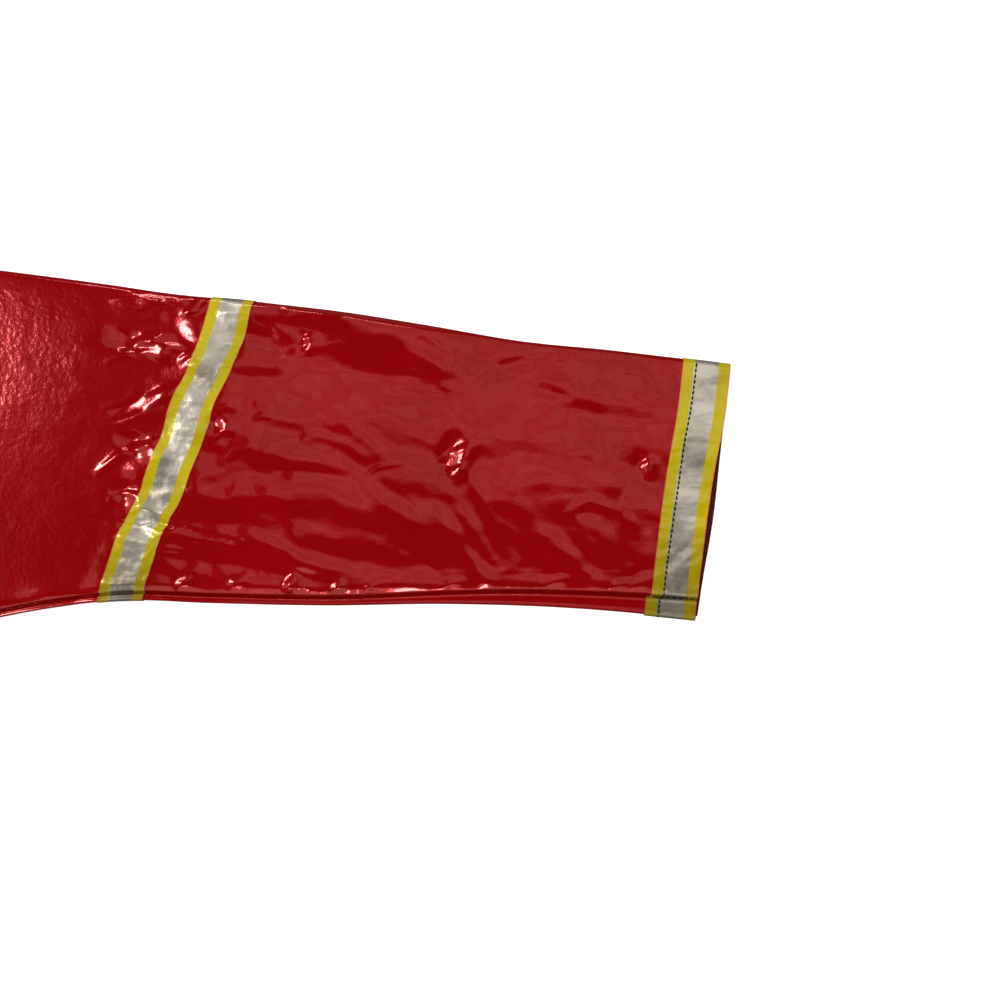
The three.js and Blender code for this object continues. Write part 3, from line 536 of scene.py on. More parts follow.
# The sleeve's form: the puff above the underarm seam, the seam's groove, the rolled edge under it,
# and how the waves and creases fade at the edges, near the armhole and at the cuff.
PUFF, PUFF_WIDE, PUFF_AT = 1.25, 4, 0.95
PUFF_LEAST, PUFF_CHANGE, PUFF_LENGTH, PUFF_SEED = 0.7, 0.8, 24, 21
GROOVE, GROOVE_WIDE = 2.0, 0.7
ROLL_DROP, ROLL_REACH = 0.35, (0.2, 1.2)
CROWN_REACH = 9
WAVES_FROM_SEAM, WAVES_FROM_TOP = 10, 9
CREASES_FROM_SEAM, CREASES_FROM_TOP = 4, 3
CALM_WAVES, MORE_WAVES, WAVES_GROW = 0.2, 0.84, (236, 290)
CUFF_TAUT, CUFF_TAUT_FROM = 0.55, 0.9
ARMHOLE_REACH = 60.0
LAYER_SPACE = 0.25


def rows_between(stations):
    """Rows (low, top, tape) through stations of (low, top, tape), about a step apart."""
    rows = []
    for start, end in zip(stations[:-1], stations[1:]):
        length = max(end[0] - start[0], end[1] - start[1])
        on_tape = start[2] > 0 and end[2] > 0
        cells = max(1, round(length / (TAPE_STEP if on_tape else SLEEVE_STEP)))
        for cell in range(cells):
            rows.append(np.array(start) + (np.array(end) - np.array(start)) * cell / cells)
    rows.append(np.array(stations[-1]))
    return np.array(rows, float)


def beside(row, distance):
    """A station off the tapes, at a distance from a tape's edge."""
    return (row[0] + distance, row[1] + distance, 0)


SLEEVE_STATIONS = [(0, 0, 0), beside(BAND_IN, -TAPE_RAMP), (*BAND_IN, 1), (*BAND_OUT, 1),
                   beside(BAND_OUT, TAPE_RAMP), beside(CUFF_IN, -TAPE_RAMP), (*CUFF_IN, 1), (*CUFF_OUT, 1)]


def armhole_at(share):
    """Points of the armhole seam, from the armpit at 0 to the shoulder at 1."""
    share = np.asarray(share)[..., None]
    bend = ARMPIT + (SHOULDER - ARMPIT) * ARMHOLE_BEND_AT - np.array([ARMHOLE_HOLLOW, 0])
    return ARMPIT * (1 - share) ** 2 + bend * 2 * share * (1 - share) + SHOULDER * share ** 2


class Sleeve:
    """The form of one sleeve. Rows run from the armhole to the cuff, columns round the sleeve from
    the lower edge, under it, up round the top fold and back over it."""

    def __init__(self, creases, soft_faces, seed):
        self.creases = creases
        self.soft_faces = soft_faces
        self.seed = seed

    def ends(self, rows):
        """The lower and upper end of each row, and the shares of the way to the cuff."""
        low_share, top_share = rows[:, 0] / LOW_LENGTH, rows[:, 1] / TOP_LENGTH
        low = ARMPIT + (CUFF_LOW - ARMPIT) * low_share[:, None]
        top = SHOULDER + (CUFF_TOP - SHOULDER) * top_share[:, None]
        low[:, 1] += look_up(UNDERARM_EDGE, low_share)
        top[:, 1] += look_up(TOP_EDGE, top_share)
        return low, top, low_share, top_share

    def upper_height(self, across, width, seam, x, y, low_share):
        """Height of the upper layer."""
        above = np.maximum(0, across - seam)
        below_top = np.maximum(width - across, 0)
        crown = SLEEVE_CROWN * np.sqrt(np.sin(np.pi * np.clip(across / width, 0, 1)))
        crown = crown * np.minimum(1, above / CROWN_REACH)
        puff = PUFF * np.exp(-(((across - seam) / PUFF_WIDE - PUFF_AT) ** 2))
        uneven = gradient_noise(x / PUFF_LENGTH, y * 0, self.seed + PUFF_SEED)
        puff = puff * (PUFF_LEAST + PUFF_CHANGE * uneven)
        groove = GROOVE * np.exp(-(((across - seam) / GROOVE_WIDE) ** 2))
        roll = -ROLL_DROP * smoothstep(seam - across, *ROLL_REACH)
        taut = 1 - CUFF_TAUT * smoothstep(low_share, CUFF_TAUT_FROM, 1.0)
        waves = crumple(x, y, self.seed) * taut * (CALM_WAVES + MORE_WAVES * smoothstep(x, *WAVES_GROW))
        creases = crease_height(self.creases, x, y) + face_height(self.soft_faces, x, y)
        far = np.minimum(1, np.minimum(above / WAVES_FROM_SEAM, below_top / WAVES_FROM_TOP))
        near = np.minimum(1, np.minimum(above / CREASES_FROM_SEAM, below_top / CREASES_FROM_TOP))
        return EDGE_HEIGHT + crown + puff - groove + roll + far * waves + near * creases

    def surface(self, rows, out):
        """Points of the sleeve's outside, moved out of it by a distance, or into it below 0."""
        low, top, low_share, top_share = self.ends(rows)
        width = np.hypot(*(top - low).T)[:, None]
        seam = look_up(SEAM_ROLL, low_share)[:, None]
        rise = smoothstep(rows[:, 2:3], 0, 1) * TAPE_LIFT
        radius = FOLD_RADIUS
        share = np.linspace(0, 1, UNDER_COLUMNS + 1)[None, :]
        under = radius + (width - 2 * radius) * share
        angle = np.linspace(-math.pi / 2, math.pi / 2, FOLD_COLUMNS + 1)[None, 1:-1]
        top_fold = width - radius + (radius + out) * np.cos(angle)
        top_fold_z = radius + (radius + out) * np.sin(angle) + 0 * width
        share = np.linspace(0, 1, TOP_COLUMNS + 1)[None, :-1]
        upper = (width - radius) + (seam + GROOVE_OFFSETS[0] - width + radius) * share
        groove = seam + np.array(GROOVE_OFFSETS)[None, :]
        share = np.linspace(0, 1, LOWER_COLUMNS + 1)[None, 1:]
        lower = seam + GROOVE_OFFSETS[-1] + (radius - seam - GROOVE_OFFSETS[-1]) * share
        upper = np.concatenate([upper, groove, lower], axis=1)
        low_fold = radius - (radius + out) * np.cos(angle) + 0 * width
        low_fold_z = radius + (radius + out) * np.sin(angle[:, ::-1]) + 0 * width

        def place(across):
            return low[:, None, :] + (top - low)[:, None, :] * (across / width)[:, :, None]

        flat = place(upper)
        height = self.upper_height(upper, width, seam, flat[:, :, 0], flat[:, :, 1], low_share[:, None])
        across = np.concatenate([under, top_fold, upper, low_fold], axis=1)
        z = np.concatenate([0 * under - out, top_fold_z, height + out, low_fold_z], axis=1) + rise
        share = np.clip(across / width, 0, 1)
        points = place(across)
        self.follow_armhole(points, share, low_share)
        self.drift(points, share, top_share)
        return np.concatenate([points, z[:, :, None]], axis=2)

    def follow_armhole(self, points, share, low_share):
        """Draw the first rows out to the curve of the armhole seam."""
        bow = armhole_at(share[0]) - (ARMPIT + (SHOULDER - ARMPIT) * share[0][:, None])
        fade = (1 - smoothstep(low_share * LOW_LENGTH, 0, ARMHOLE_REACH))[:, None]
        points[:, :, 0] += fade * bow[None, :, 0] + SEAM_GAP / 2 * (low_share[:, None] == 0)
        points[:, :, 1] += fade * bow[None, :, 1]

    def drift(self, points, share, top_share):
        """Let the cloth wander at the band and at the cuff, where its two layers part."""
        is_under = np.arange(share.shape[1])[None, :] <= UNDER_COLUMNS
        from_band = (top_share - BAND_TOP_FROM_SHOULDER / TOP_LENGTH) / BAND_KINK_REACH
        near_band = np.exp(-(from_band ** 2))[:, None]
        near_cuff = smoothstep(top_share, CUFF_DRAW_FROM, 1)[:, None]
        at_cuff = np.where(is_under, look_up(CUFF_BACK_DRIFT, share), look_up(CUFF_FRONT_DRIFT, share))
        points[:, :, 0] += near_band * look_up(BAND_DRIFT, share) + near_cuff * at_cuff

    def wall(self, rows):
        """The sleeve's mesh, and the quads of its inside. The inside has fewer rows."""
        outer = self.surface(rows, 0)
        picked = np.unique(np.append(np.arange(0, len(rows), INNER_STEP), len(rows) - 1))
        inner = self.surface(rows[picked], -CLOTH)
        last_upper = outer.shape[1] - (FOLD_COLUMNS - 1)
        height = outer[:, FIRST_UPPER:last_upper, 2]
        lowest = np.array([height[max(0, k - INNER_STEP):k + INNER_STEP + 1].min(axis=0) for k in picked])
        lowest = np.minimum(lowest, np.minimum(np.roll(lowest, 1, axis=1), np.roll(lowest, -1, axis=1)))
        lowest[0], lowest[-1] = height[0], height[-1]
        least = CLOTH + LAYER_SPACE + rows[picked, 2:3] * TAPE_LIFT
        inner[:, FIRST_UPPER:last_upper, 2] = np.maximum(lowest - CLOTH, least)
        return shell(outer, inner, True), inside_faces(outer, inner, True)


# Materials. Colours are linear.
CLOTH_MAP = "cloth"
DEEP_RED, LIGHT_RED = (0.146, 0.0, 0.0007), (0.177, 0.0, 0.0014)
# The backing's dark reds are painted shade for the shadowed under layer seen inside the cuff, over a real
# knit pattern.
BACKING_SHADED_RED, BACKING_SHADED_DARK = (0.1, 0.006, 0.008), (0.05, 0.003, 0.005)
YELLOW, YELLOW_EDGE = (0.325, 0.258, 0.0), (0.42, 0.13, 0.015)
DULL_SILVER, BRIGHT_SILVER = (0.18, 0.162, 0.136), (0.36, 0.33, 0.278)
STAINED, CLEAN = (0.8, 0.78, 0.74), (1.03, 1.03, 1.03)
# Painted shade: the tapes darken towards their low ends. The shade is full below the first height in Y and
# fades out by the second.
LOW_END_SHADE, NO_LOW_END_SHADE = (0.48, 0.45, 0.42), (1, 1, 1)
LOW_END_SHADE_FULL_Y, LOW_END_SHADE_END_Y = 0.114, 0.146
THREAD_DARK, THREAD_BLACK = (0.0048, 0.0036, 0.0036), (0.008, 0.006, 0.006)
STEEL_DARK, STEEL_LIGHT = (0.5, 0.5, 0.51), (0.62, 0.62, 0.63)
FLOOR_DARK, FLOOR_LIGHT = (0.86, 0.86, 0.86), (0.88, 0.88, 0.88)
BLACK, WHITE = (0, 0, 0), (1, 1, 1)

# Across the tape, in shares of its width: the worn rims, the yellow sides, and how soft and how
# uneven the line between the yellow and the silver is.
TAPE_RIM = 0.35 / TAPE_WIDTH
TAPE_SIDE = 4.6 / TAPE_WIDTH
TAPE_BLUR = 0.008
TAPE_WANDER = 0.045


class Material:
    """A new material, and the kinds of node that the coat's materials use."""

    def __init__(self, name):
        self.material = bpy.data.materials.new(name)
        self.material.use_nodes = True
        self.tree = self.material.node_tree
        self.shader = self.tree.nodes["Principled BSDF"]
        self.place = self.node("ShaderNodeTexCoord", {}, "Object")

    def node(self, kind, inputs, output, **settings):
        """The output of a new node. An input that is a socket is linked, and any other is set."""
        node = self.tree.nodes.new(kind)
        for name, value in settings.items():
            setattr(node, name, value)
        for name, value in inputs.items():
            if isinstance(value, bpy.types.NodeSocket):
                self.tree.links.new(value, node.inputs[name])
            else:
                node.inputs[name].default_value = value
        return node.outputs[output]

    def noise(self, scale, detail=3.0, rough=0.5):
        inputs = {"Vector": self.place, "Scale": scale, "Detail": detail, "Roughness": rough}
        return self.node("ShaderNodeTexNoise", inputs, "Fac")

    def cells(self, scale, feature="F1"):
        inputs = {"Vector": self.place, "Scale": scale}
        return self.node("ShaderNodeTexVoronoi", inputs, "Distance", feature=feature)

    def calculate(self, operation, *values):
        return self.node("ShaderNodeMath", dict(enumerate(values)), "Value", operation=operation)

    def mix(self, blend, factor, first, second):
        inputs = {"Factor": factor, "A": first, "B": second}
        return self.node("ShaderNodeMix", inputs, "Result", data_type="RGBA", blend_type=blend)

    def bump(self, height, distance, strength=1.0, after=None):
        inputs = {"Height": height, "Distance": distance, "Strength": strength}
        if after is not None:
            inputs["Normal"] = after
        return self.node("ShaderNodeBump", inputs, "Normal")

    def ramp(self, value, stops):
        """Colours at a value, from stops of (value, colour)."""
        node = self.tree.nodes.new("ShaderNodeValToRGB")
        elements = node.color_ramp.elements
        while len(elements) < len(stops):
            elements.new(0.5)
        for element, (place, color) in zip(elements, stops):
            element.position = place
            element.color = (*color, 1)
        self.tree.links.new(value, node.inputs["Fac"])
        return node.outputs["Color"]

    def link(self, name, value):
        self.tree.links.new(value, self.shader.inputs[name])

    def settings(self, values):
        for name, value in values.items():
            self.shader.inputs[name].default_value = value


def vinyl_material():
    """Glossy red vinyl with a fine orange-peel surface."""
    vinyl = Material("red_vinyl")
    tone = vinyl.noise(scale=26.0, detail=4.0)
    vinyl.link("Base Color", vinyl.ramp(tone, [(0.3, DEEP_RED), (0.7, LIGHT_RED)]))
    vinyl.settings({"Roughness": 0.145, "IOR": 1.5, "Specular Tint": (1.0, 0.12, 0.11, 1)})
    vinyl.settings({"Coat Weight": 0.16, "Coat Roughness": 0.03, "Coat IOR": 1.5})
    peel = vinyl.bump(vinyl.noise(scale=520.0, detail=2.0), distance=0.00005)
    ripple = vinyl.bump(vinyl.noise(scale=130.0, detail=3.0), distance=0.00016, after=peel)
    vinyl.link("Normal", ripple)
    return vinyl.material


def tape_color(tape, silver_mask, across):
    """Silver between yellow sides with worn rims, mottled and stained, and darkened towards its low end by
    painted shade.
    """
    rims = tape.ramp(across, [(TAPE_RIM, YELLOW_EDGE), (TAPE_RIM * 1.5, YELLOW),
                              (1 - TAPE_RIM * 1.5, YELLOW), (1 - TAPE_RIM, YELLOW_EDGE)])
    mottle = tape.noise(scale=62.0, detail=4.0)
    silver = tape.ramp(mottle, [(0.33, DULL_SILVER), (0.6, BRIGHT_SILVER)])
    stain = tape.ramp(tape.noise(scale=45.0, detail=3.0), [(0.3, STAINED), (0.6, CLEAN)])
    # Painted shade, which darkens the colour towards the tape's low end by its height in Y.
    height = tape.node("ShaderNodeSeparateXYZ", {"Vector": tape.place}, "Y")
    low_end_shade = tape.ramp(height, [(LOW_END_SHADE_FULL_Y, LOW_END_SHADE), (LOW_END_SHADE_END_Y, NO_LOW_END_SHADE)])
    color = tape.mix("MIX", silver_mask, rims, silver)
    worn = tape.mix("MULTIPLY", 1.0, color, stain)
    return tape.mix("MULTIPLY", 1.0, worn, low_end_shade)


def tape_material():
    """Reflective tape, by the share across it in U, with the length along it in metres in V."""
    tape = Material("reflective_tape")
    uv = tape.node("ShaderNodeUVMap", {}, "UV", uv_map=CLOTH_MAP)
    across = tape.node("ShaderNodeSeparateXYZ", {"Vector": uv}, "X")
    wander = tape.calculate("MULTIPLY_ADD", tape.noise(scale=110.0, detail=2.0), TAPE_WANDER, across)
    wandering = tape.calculate("SUBTRACT", wander, TAPE_WANDER / 2)
    mask = tape.ramp(wandering, [(TAPE_SIDE - TAPE_BLUR, BLACK), (TAPE_SIDE + TAPE_BLUR, WHITE),
                                 (1 - TAPE_SIDE - TAPE_BLUR, WHITE), (1 - TAPE_SIDE + TAPE_BLUR, BLACK)])
    tape.link("Base Color", tape_color(tape, mask, across))
    tape.link("Metallic", tape.calculate("MULTIPLY", mask, 0.7))
    tape.link("Roughness", tape.calculate("MULTIPLY_ADD", mask, 0.14, 0.24))
    tape.settings({"Specular Tint": (1.0, 0.85, 0.32, 1), "Coat Weight": 0.05, "Coat Roughness": 0.1})
    crackle = tape.cells(scale=380.0, feature="DISTANCE_TO_EDGE")
    fine = tape.bump(crackle, distance=0.0002, strength=0.35)
    middle = tape.bump(tape.noise(scale=300.0, detail=3.0), distance=0.00012, after=fine)
    tape.link("Normal", tape.bump(tape.noise(scale=80.0, detail=2.0), distance=0.00035, after=middle))
    return tape.material


def lining_material():
    """The reverse of the vinyl, a dull knitted backing. Its dark reds are painted shade for the shadowed
    under layer inside the cuff.
    """
    lining = Material("cloth_backing_shaded")
    knit = lining.cells(scale=1300.0)
    lining.link("Base Color", lining.ramp(knit, [(0.1, BACKING_SHADED_RED), (0.7, BACKING_SHADED_DARK)]))
    lining.settings({"Roughness": 0.75, "Specular IOR Level": 0.12})
    lining.link("Normal", lining.bump(knit, distance=0.0002))
    return lining.material


def thread_material():
    """Black sewing thread."""
    thread = Material("black_thread")
    tone = thread.noise(scale=2500.0, detail=2.0)
    thread.link("Base Color", thread.ramp(tone, [(0.35, THREAD_DARK), (0.65, THREAD_BLACK)]))
    thread.settings({"Roughness": 0.6, "Specular IOR Level": 0.15})
    thread.link("Normal", thread.bump(tone, distance=0.0001))
    return thread.material


def steel_material():
    """Satin steel of the press studs."""
    steel = Material("stud_steel")
    tone = steel.noise(scale=900.0, detail=3.0)
    steel.link("Base Color", steel.ramp(tone, [(0.3, STEEL_DARK), (0.7, STEEL_LIGHT)]))
    steel.settings({"Metallic": 1.0, "Roughness": 0.26})
    steel.link("Normal", steel.bump(tone, distance=0.00002))
    return steel.material


def floor_material():
    """A white surface that glows a little."""
    surface = Material("pale_floor")
    tone = surface.noise(scale=3.0, detail=2.0)
    surface.link("Base Color", surface.ramp(tone, [(0.3, FLOOR_DARK), (0.7, FLOOR_LIGHT)]))
    surface.settings({"Roughness": 0.9, "Specular IOR Level": 0.1})
    surface.settings({"Emission Color": (1, 1, 1, 1), "Emission Strength": 0.4})
    return surface.material


VINYL = vinyl_material()
LINING = lining_material()
TAPE_MATERIAL = tape_material()
THREAD = thread_material()
STEEL = steel_material()

# Sewing. Each kind has its pitch, the thread's radius and how much of the pitch a stitch fills.
CUFF_SEWING = dict(pitch=2.2, radius=0.4, fill=0.86)
SEAM_SEWING = dict(pitch=2.4, radius=0.34, fill=0.94)
BODY_SEWING = dict(pitch=3.0, radius=0.26, fill=0.72)
STITCH_SIDES = 6
STITCH_RINGS = 5
STITCH_SUNK = 0.1
STITCH_END = 0.45
STITCH_RISE = 0.9
DRIFT_ALONG, DRIFT_ACROSS = 0.3, 0.22
DRIFT_TURNS = (1.9, 2.7, 3.1)
LEAST_LENGTH = 1e-9


def resampled(curve, pitch):
    """Points at even steps along a curve, about a pitch apart."""
    steps = np.linalg.norm(np.diff(curve, axis=0), axis=1)
    along = np.concatenate([[0], np.cumsum(steps)])
    places = np.linspace(0, along[-1], max(2, int(along[-1] / pitch)) + 1)
    return np.stack([np.interp(places, along, curve[:, k]) for k in range(3)], axis=1)


def wobble(point):
    """A small unevenness of hand-guided sewing."""
    by_x, by_y, across = DRIFT_TURNS
    x, y = point[:2]
    return np.array([DRIFT_ALONG * math.sin(x * by_x + y * by_y), DRIFT_ACROSS * math.sin(y * across), 0])


def unit(vector):
    """The same direction, with a length of 1."""
    return vector / (np.linalg.norm(vector) + LEAST_LENGTH)


def stitch(start, end, radius, fill):
    """The rings of points of one stitch, which rises out of the cloth between two marks."""
    forward = (end - start) * fill
    across = unit(np.cross(forward, [0, 0, 1]))
    up = unit(np.cross(across, forward))
    points = []
    for t in np.arange(STITCH_RINGS) / (STITCH_RINGS - 1):
        rise = math.sin(math.pi * t)
        centre = start + (end - start) * (1 - fill) / 2 + forward * t
        centre = centre + up * (radius * STITCH_RISE * rise - STITCH_SUNK)
        swell = radius * (STITCH_END + (1 - STITCH_END) * rise)
        for angle in 2 * np.pi * np.arange(STITCH_SIDES) / STITCH_SIDES:
            points.append(centre + swell * (math.cos(angle) * across + math.sin(angle) * up))
    return points


def stitch_row(name, curves, pitch, radius, fill):
    """Short raised stitches along curves that lie on the cloth, joined as one piece."""
    points, faces = [], []
    around = [(side, (side + 1) % STITCH_SIDES) for side in range(STITCH_SIDES)]
    for curve in curves:
        marks = resampled(np.asarray(curve, float), pitch)
        for start, end in zip(marks[:-1], marks[1:]):
            base = len(points)
            points += stitch(start + wobble(start), end + wobble(end), radius, fill)
            last = base + (STITCH_RINGS - 1) * STITCH_SIDES
            for ring in range(base, last, STITCH_SIDES):
                after = ring + STITCH_SIDES
                faces += [(ring + a, ring + b, after + b, after + a) for a, b in around]
            faces.append(tuple(base + side for side in reversed(range(STITCH_SIDES))))
            faces.append(tuple(last + side for side in range(STITCH_SIDES)))
    add_piece(name, points, faces, [THREAD])


# The sleeves and their tapes. Below the underarm seam, the cuff's tape lies a little further in.
CUFF_STITCH_SHARE = 5.2 / TAPE_WIDTH
SEAM_STITCH_SHARES = np.linspace(0.03, 0.97, 12)
SEAM_STITCH_LIFT = 0.1
LOWER_TAPE_SHIFT = 2.0
LOWER_TAPE_FADE = 34.0
LOWER_TAPE_LESS = 0.9
TAPE_WRINKLES = [(0.26, 8, 3.4), (0.12, 3, 2)]
TAPE_WRINKLE_LEAST, TAPE_WRINKLE_MOST = 0.06, 0.3
TAPE_WRINKLE_SEED = 40
TAPE_WRINKLE_END = 4
TAPE_SMOOTH_COLUMNS = 8


def share_row(start, end, share):
    """A row on a tape, at a share of the way from one edge to the other."""
    low = start[0] + (end[0] - start[0]) * share
    top = start[1] + (end[1] - start[1]) * share
    return np.array([[low, top, 1.0]])


def tape_surface(form, rows, out, at_cuff, shares):
    """Points of a tape's face, with a share across the tape for each row."""
    points = form.surface(rows, out)
    if at_cuff:
        columns = np.arange(points.shape[1])[None, :]
        below_seam = np.where(columns > SEAM_COLUMN, 1.0, 0.0)
        from_low_edge = points[:, :, 1] - points[:, :1, 1]
        under = (columns <= UNDER_COLUMNS) * (1 - smoothstep(from_low_edge, 0, LOWER_TAPE_FADE))
        shift = LOWER_TAPE_SHIFT * (1 - LOWER_TAPE_LESS * shares[:, None])
        points[:, :, 0] -= shift * np.maximum(below_seam, under)
    return points


def tape_wrinkles(form, x, y):
    """Fine wrinkles of a tape's upper side, which fade out at both ends of it."""
    total = TAPE_WRINKLE_LEAST
    for number, (high, along, across) in enumerate(TAPE_WRINKLES):
        total = total + high * gradient_noise(x / along, y / across, form.seed + TAPE_WRINKLE_SEED + number)
    columns = np.arange(x.shape[1])
    ends = np.minimum(1, np.minimum(columns, columns[::-1]) / TAPE_WRINKLE_END)
    return np.clip(total, 0, TAPE_WRINKLE_MOST) * ends


def build_tape(form, name, start, end, mirror):
    shares = np.linspace(0, 1, round(TAPE_WIDTH / TAPE_STEP) + 1)
    rows = np.concatenate([share_row(start, end, share) for share in shares])
    at_cuff = end is CUFF_OUT
    outer = tape_surface(form, rows, TAPE_LIFT, at_cuff, shares)
    inner = tape_surface(form, rows, TAPE_GAP, at_cuff, shares)
    upper = slice(FIRST_UPPER, SEAM_COLUMN - TAPE_SMOOTH_COLUMNS)
    outer[:, upper, 2] += tape_wrinkles(form, outer[:, upper, 0], outer[:, upper, 1])
    steps = np.linalg.norm(np.diff(outer, axis=1), axis=2)
    length = np.concatenate([np.zeros((len(rows), 1)), np.cumsum(steps, axis=1)], axis=1) * MM
    across = np.repeat(shares[:, None], outer.shape[1], axis=1)
    uvs = np.stack([across, length], axis=-1).reshape(-1, 2)
    points, faces = mirrored(*shell(outer, inner, True), mirror)
    both = np.concatenate([uvs, uvs])
    piece = add_cloth(f"{name}_strip", points, faces, [TAPE_MATERIAL], name, uvs=both)


def sew_cuff(form, side, flip):
    """The row round the cuff's tape on its upper side, and the row along the underarm seam."""
    shares = np.array([CUFF_STITCH_SHARE])
    stitched = share_row(CUFF_IN, CUFF_OUT, CUFF_STITCH_SHARE)
    around = tape_surface(form, stitched, TAPE_LIFT, True, shares)[0] * flip
    stitch_row(f"cuff_stitches_{side}", [around[FIRST_UPPER:]], **CUFF_SEWING)
    crossing = np.concatenate([share_row(CUFF_IN, CUFF_OUT, share) for share in SEAM_STITCH_SHARES])
    line = tape_surface(form, crossing, TAPE_LIFT, True, SEAM_STITCH_SHARES)[:, SEAM_COLUMN] * flip
    stitch_row(f"cuff_seam_{side}", [line + np.array([0, 0, SEAM_STITCH_LIFT])], **SEAM_SEWING)


def build_sleeve(side, creases, soft_faces, seed, mirror):
    form = Sleeve(creases, soft_faces, seed)
    wall, lined = form.wall(rows_between(SLEEVE_STATIONS))
    points, faces = mirrored(*wall, mirror)
    name = f"sleeve_{side}"
    cloth = add_cloth(f"{name}_cloth", points, faces, [VINYL, LINING], name, lined=lined)
    build_tape(form, f"band_tape_{side}", BAND_IN, BAND_OUT, mirror)
    build_tape(form, f"cuff_tape_{side}", CUFF_IN, CUFF_OUT, mirror)
    sew_cuff(form, side, side_flip(mirror))


# The body's grid.
SIDE_ROWS = 190
ARMHOLE_ROWS = 80
NECK_SPACING = 2.6
SHOULDER_COLUMNS = 58
NECK_SAMPLES = 400

# The body's form: how its upper layer rises from its edges, its grooves and its waves.
HEIGHT_AT_SEAM = BODY_WALL * 2 + SEAM_GAP
OVERLAP_STEP = BODY_WALL + SEAM_GAP
OVERLAP_FADE = (30, 60)
LOW_EDGE = CLOTH * 2 + 0.1
UPPER_SPACE = 0.05
EDGE_RADIUS = 2.4
SIDE_RISE = 46
SHOULDER_RISE = 34
ARMPIT_LOFT, ARMPIT_REACH = 0.3, 0.06
SHOULDER_STARTS = (NECK_HALF + 12, NECK_HALF + 40)
TOP_EDGE_DROP, TOP_EDGE_RADIUS = 1.35, 1.8
ARMHOLE_GROOVE, ARMHOLE_GROOVE_WIDE = 0.9, 1.2
NECK_GROOVE, NECK_GROOVE_WIDE = 0.7, 1.1
BODY_SCALE = 0.8
FRONT_WAVES, FRONT_LOWEST, FRONT_HIGHEST = 1.5, -1.5, 4.6
BACK_WAVES, BACK_WAVES_DROP, BACK_HIGHEST = 1.2, 0.1, 1.6
PLACKET_WAVES, PLACKET_SEED = 0.16, 4

# Where the body's waves fade out, as distances from its edges.
SIDE_FADE, CENTRE_FADE, SHOULDER_FADE, HEM_FADE = (1, 26), (26, 62), (2, 34), (-6, 26)
PLACKET_FADE, PLACKET_HEM_FADE, PLACKET_NECK_FADE = (24, 60), (0, 20), (2, 16)
BACK_SIDE_FADE, BACK_SHOULDER_FADE, BACK_HEM_FADE = (6, 40), (6, 40), (4, 40)

# The body's sewing: how far the rows are from the edges, and the grooves that they press in.
FRONT_EDGE_STITCH = 5.0
FACING_STITCH = 46.0
HEM_STITCH = 15.0
SHOULDER_STITCH = 4.5
STITCH_GROOVE = 0.9
FRONT_EDGE_GROOVE, FACING_GROOVE, HEM_GROOVE = 0.22, 0.18, 0.3
HEM_PUCKER, HEM_PUCKER_TURN, HEM_PUCKER_WIDE = 0.12, 0.9, 6


def hem_at(x):
    """Points of the hem, which rises to the side seams."""
    return np.stack([x, HEM_Y + HEM_RISE * (x / HEM_HALF) ** 2], axis=-1)


def neck_at(degrees, half_width, drop):
    """A point of a neckline, an ellipse under the neck point, 0 at the centre and 90 at the shoulder."""
    angle = np.radians(degrees)
    return np.stack([half_width * np.sin(angle), NECK_POINT[1] - drop * np.cos(angle)], axis=-1)


def even_steps(curve, spacing):
    """The points of a flat curve at even steps."""
    steps = np.hypot(*np.diff(curve, axis=0).T)
    along = np.concatenate([[0], np.cumsum(steps)])
    places = np.linspace(0, along[-1], max(2, round(along[-1] / spacing)) + 1)
    return np.stack([np.interp(places, along, curve[:, k]) for k in range(2)], axis=1)


def stitch_groove(distance, line, depth):
    """The soft groove of a row of stitches, by the distance from the edge that it follows."""
    return depth * np.exp(-(((distance - line) / STITCH_GROOVE) ** 2))


class Panel:
    """A body panel on the wearer's left. Rows run from the hem to the shoulder, columns from the
    centre edge out to the side seam and armhole."""

    def __init__(self, inner_x, neck_drop):
        first_angle = math.degrees(math.asin(inner_x / NECK_HALF))
        neck = neck_at(np.linspace(first_angle, 90, NECK_SAMPLES), NECK_HALF, neck_drop)
        neck = even_steps(neck, NECK_SPACING)
        share = np.linspace(0, 1, SHOULDER_COLUMNS + 1)[1:, None]
        top = np.concatenate([neck, NECK_POINT + (SHOULDER - NECK_POINT) * share])
        share = np.linspace(0, 1, SIDE_ROWS + 1)[:-1, None]
        side = np.concatenate([HEM_CORNER + (ARMPIT - HEM_CORNER) * share,
                               armhole_at(np.linspace(0, 1, ARMHOLE_ROWS + 1))])
        out = ((top[:, 0] - inner_x) / (SHOULDER_HALF - inner_x))[None, :, None]
        up = ((side[:, 1] - HEM_CORNER[1]) / (SHOULDER[1] - HEM_CORNER[1]))[:, None, None]
        hem = hem_at(inner_x + (HEM_HALF - inner_x) * out[0, :, 0])[None]
        hem_start, neck_start = hem_at(np.array(inner_x)), top[0]
        centre = hem_start + (neck_start - hem_start) * up
        across = centre + (side[:, None] - centre) * out
        upward = hem + (top[None] - hem) * up
        low = hem_start + (HEM_CORNER - hem_start) * out
        high = neck_start + (SHOULDER - neck_start) * out
        self.place = across + upward - (low + (high - low) * up)
        self.x, self.y = self.place[:, :, 0], self.place[:, :, 1]
        self.armhole_share = np.clip((np.arange(len(side)) - SIDE_ROWS) / ARMHOLE_ROWS, 0, 1)[:, None]
        slope = (SHOULDER - NECK_POINT) / np.hypot(*(SHOULDER - NECK_POINT))
        self.from_side = side[:, None, 0] - self.x
        self.from_shoulder = -((self.y - NECK_POINT[1]) * slope[0] - (self.x - NECK_POINT[0]) * slope[1])
        self.from_centre = self.x - inner_x
        self.from_hem = self.y - hem_at(self.x)[:, :, 1]
        from_neck = np.hypot(self.x / NECK_HALF, (self.y - NECK_POINT[1]) / neck_drop)
        self.from_neck = from_neck * neck_drop - neck_drop
        self.neck_columns = len(neck)


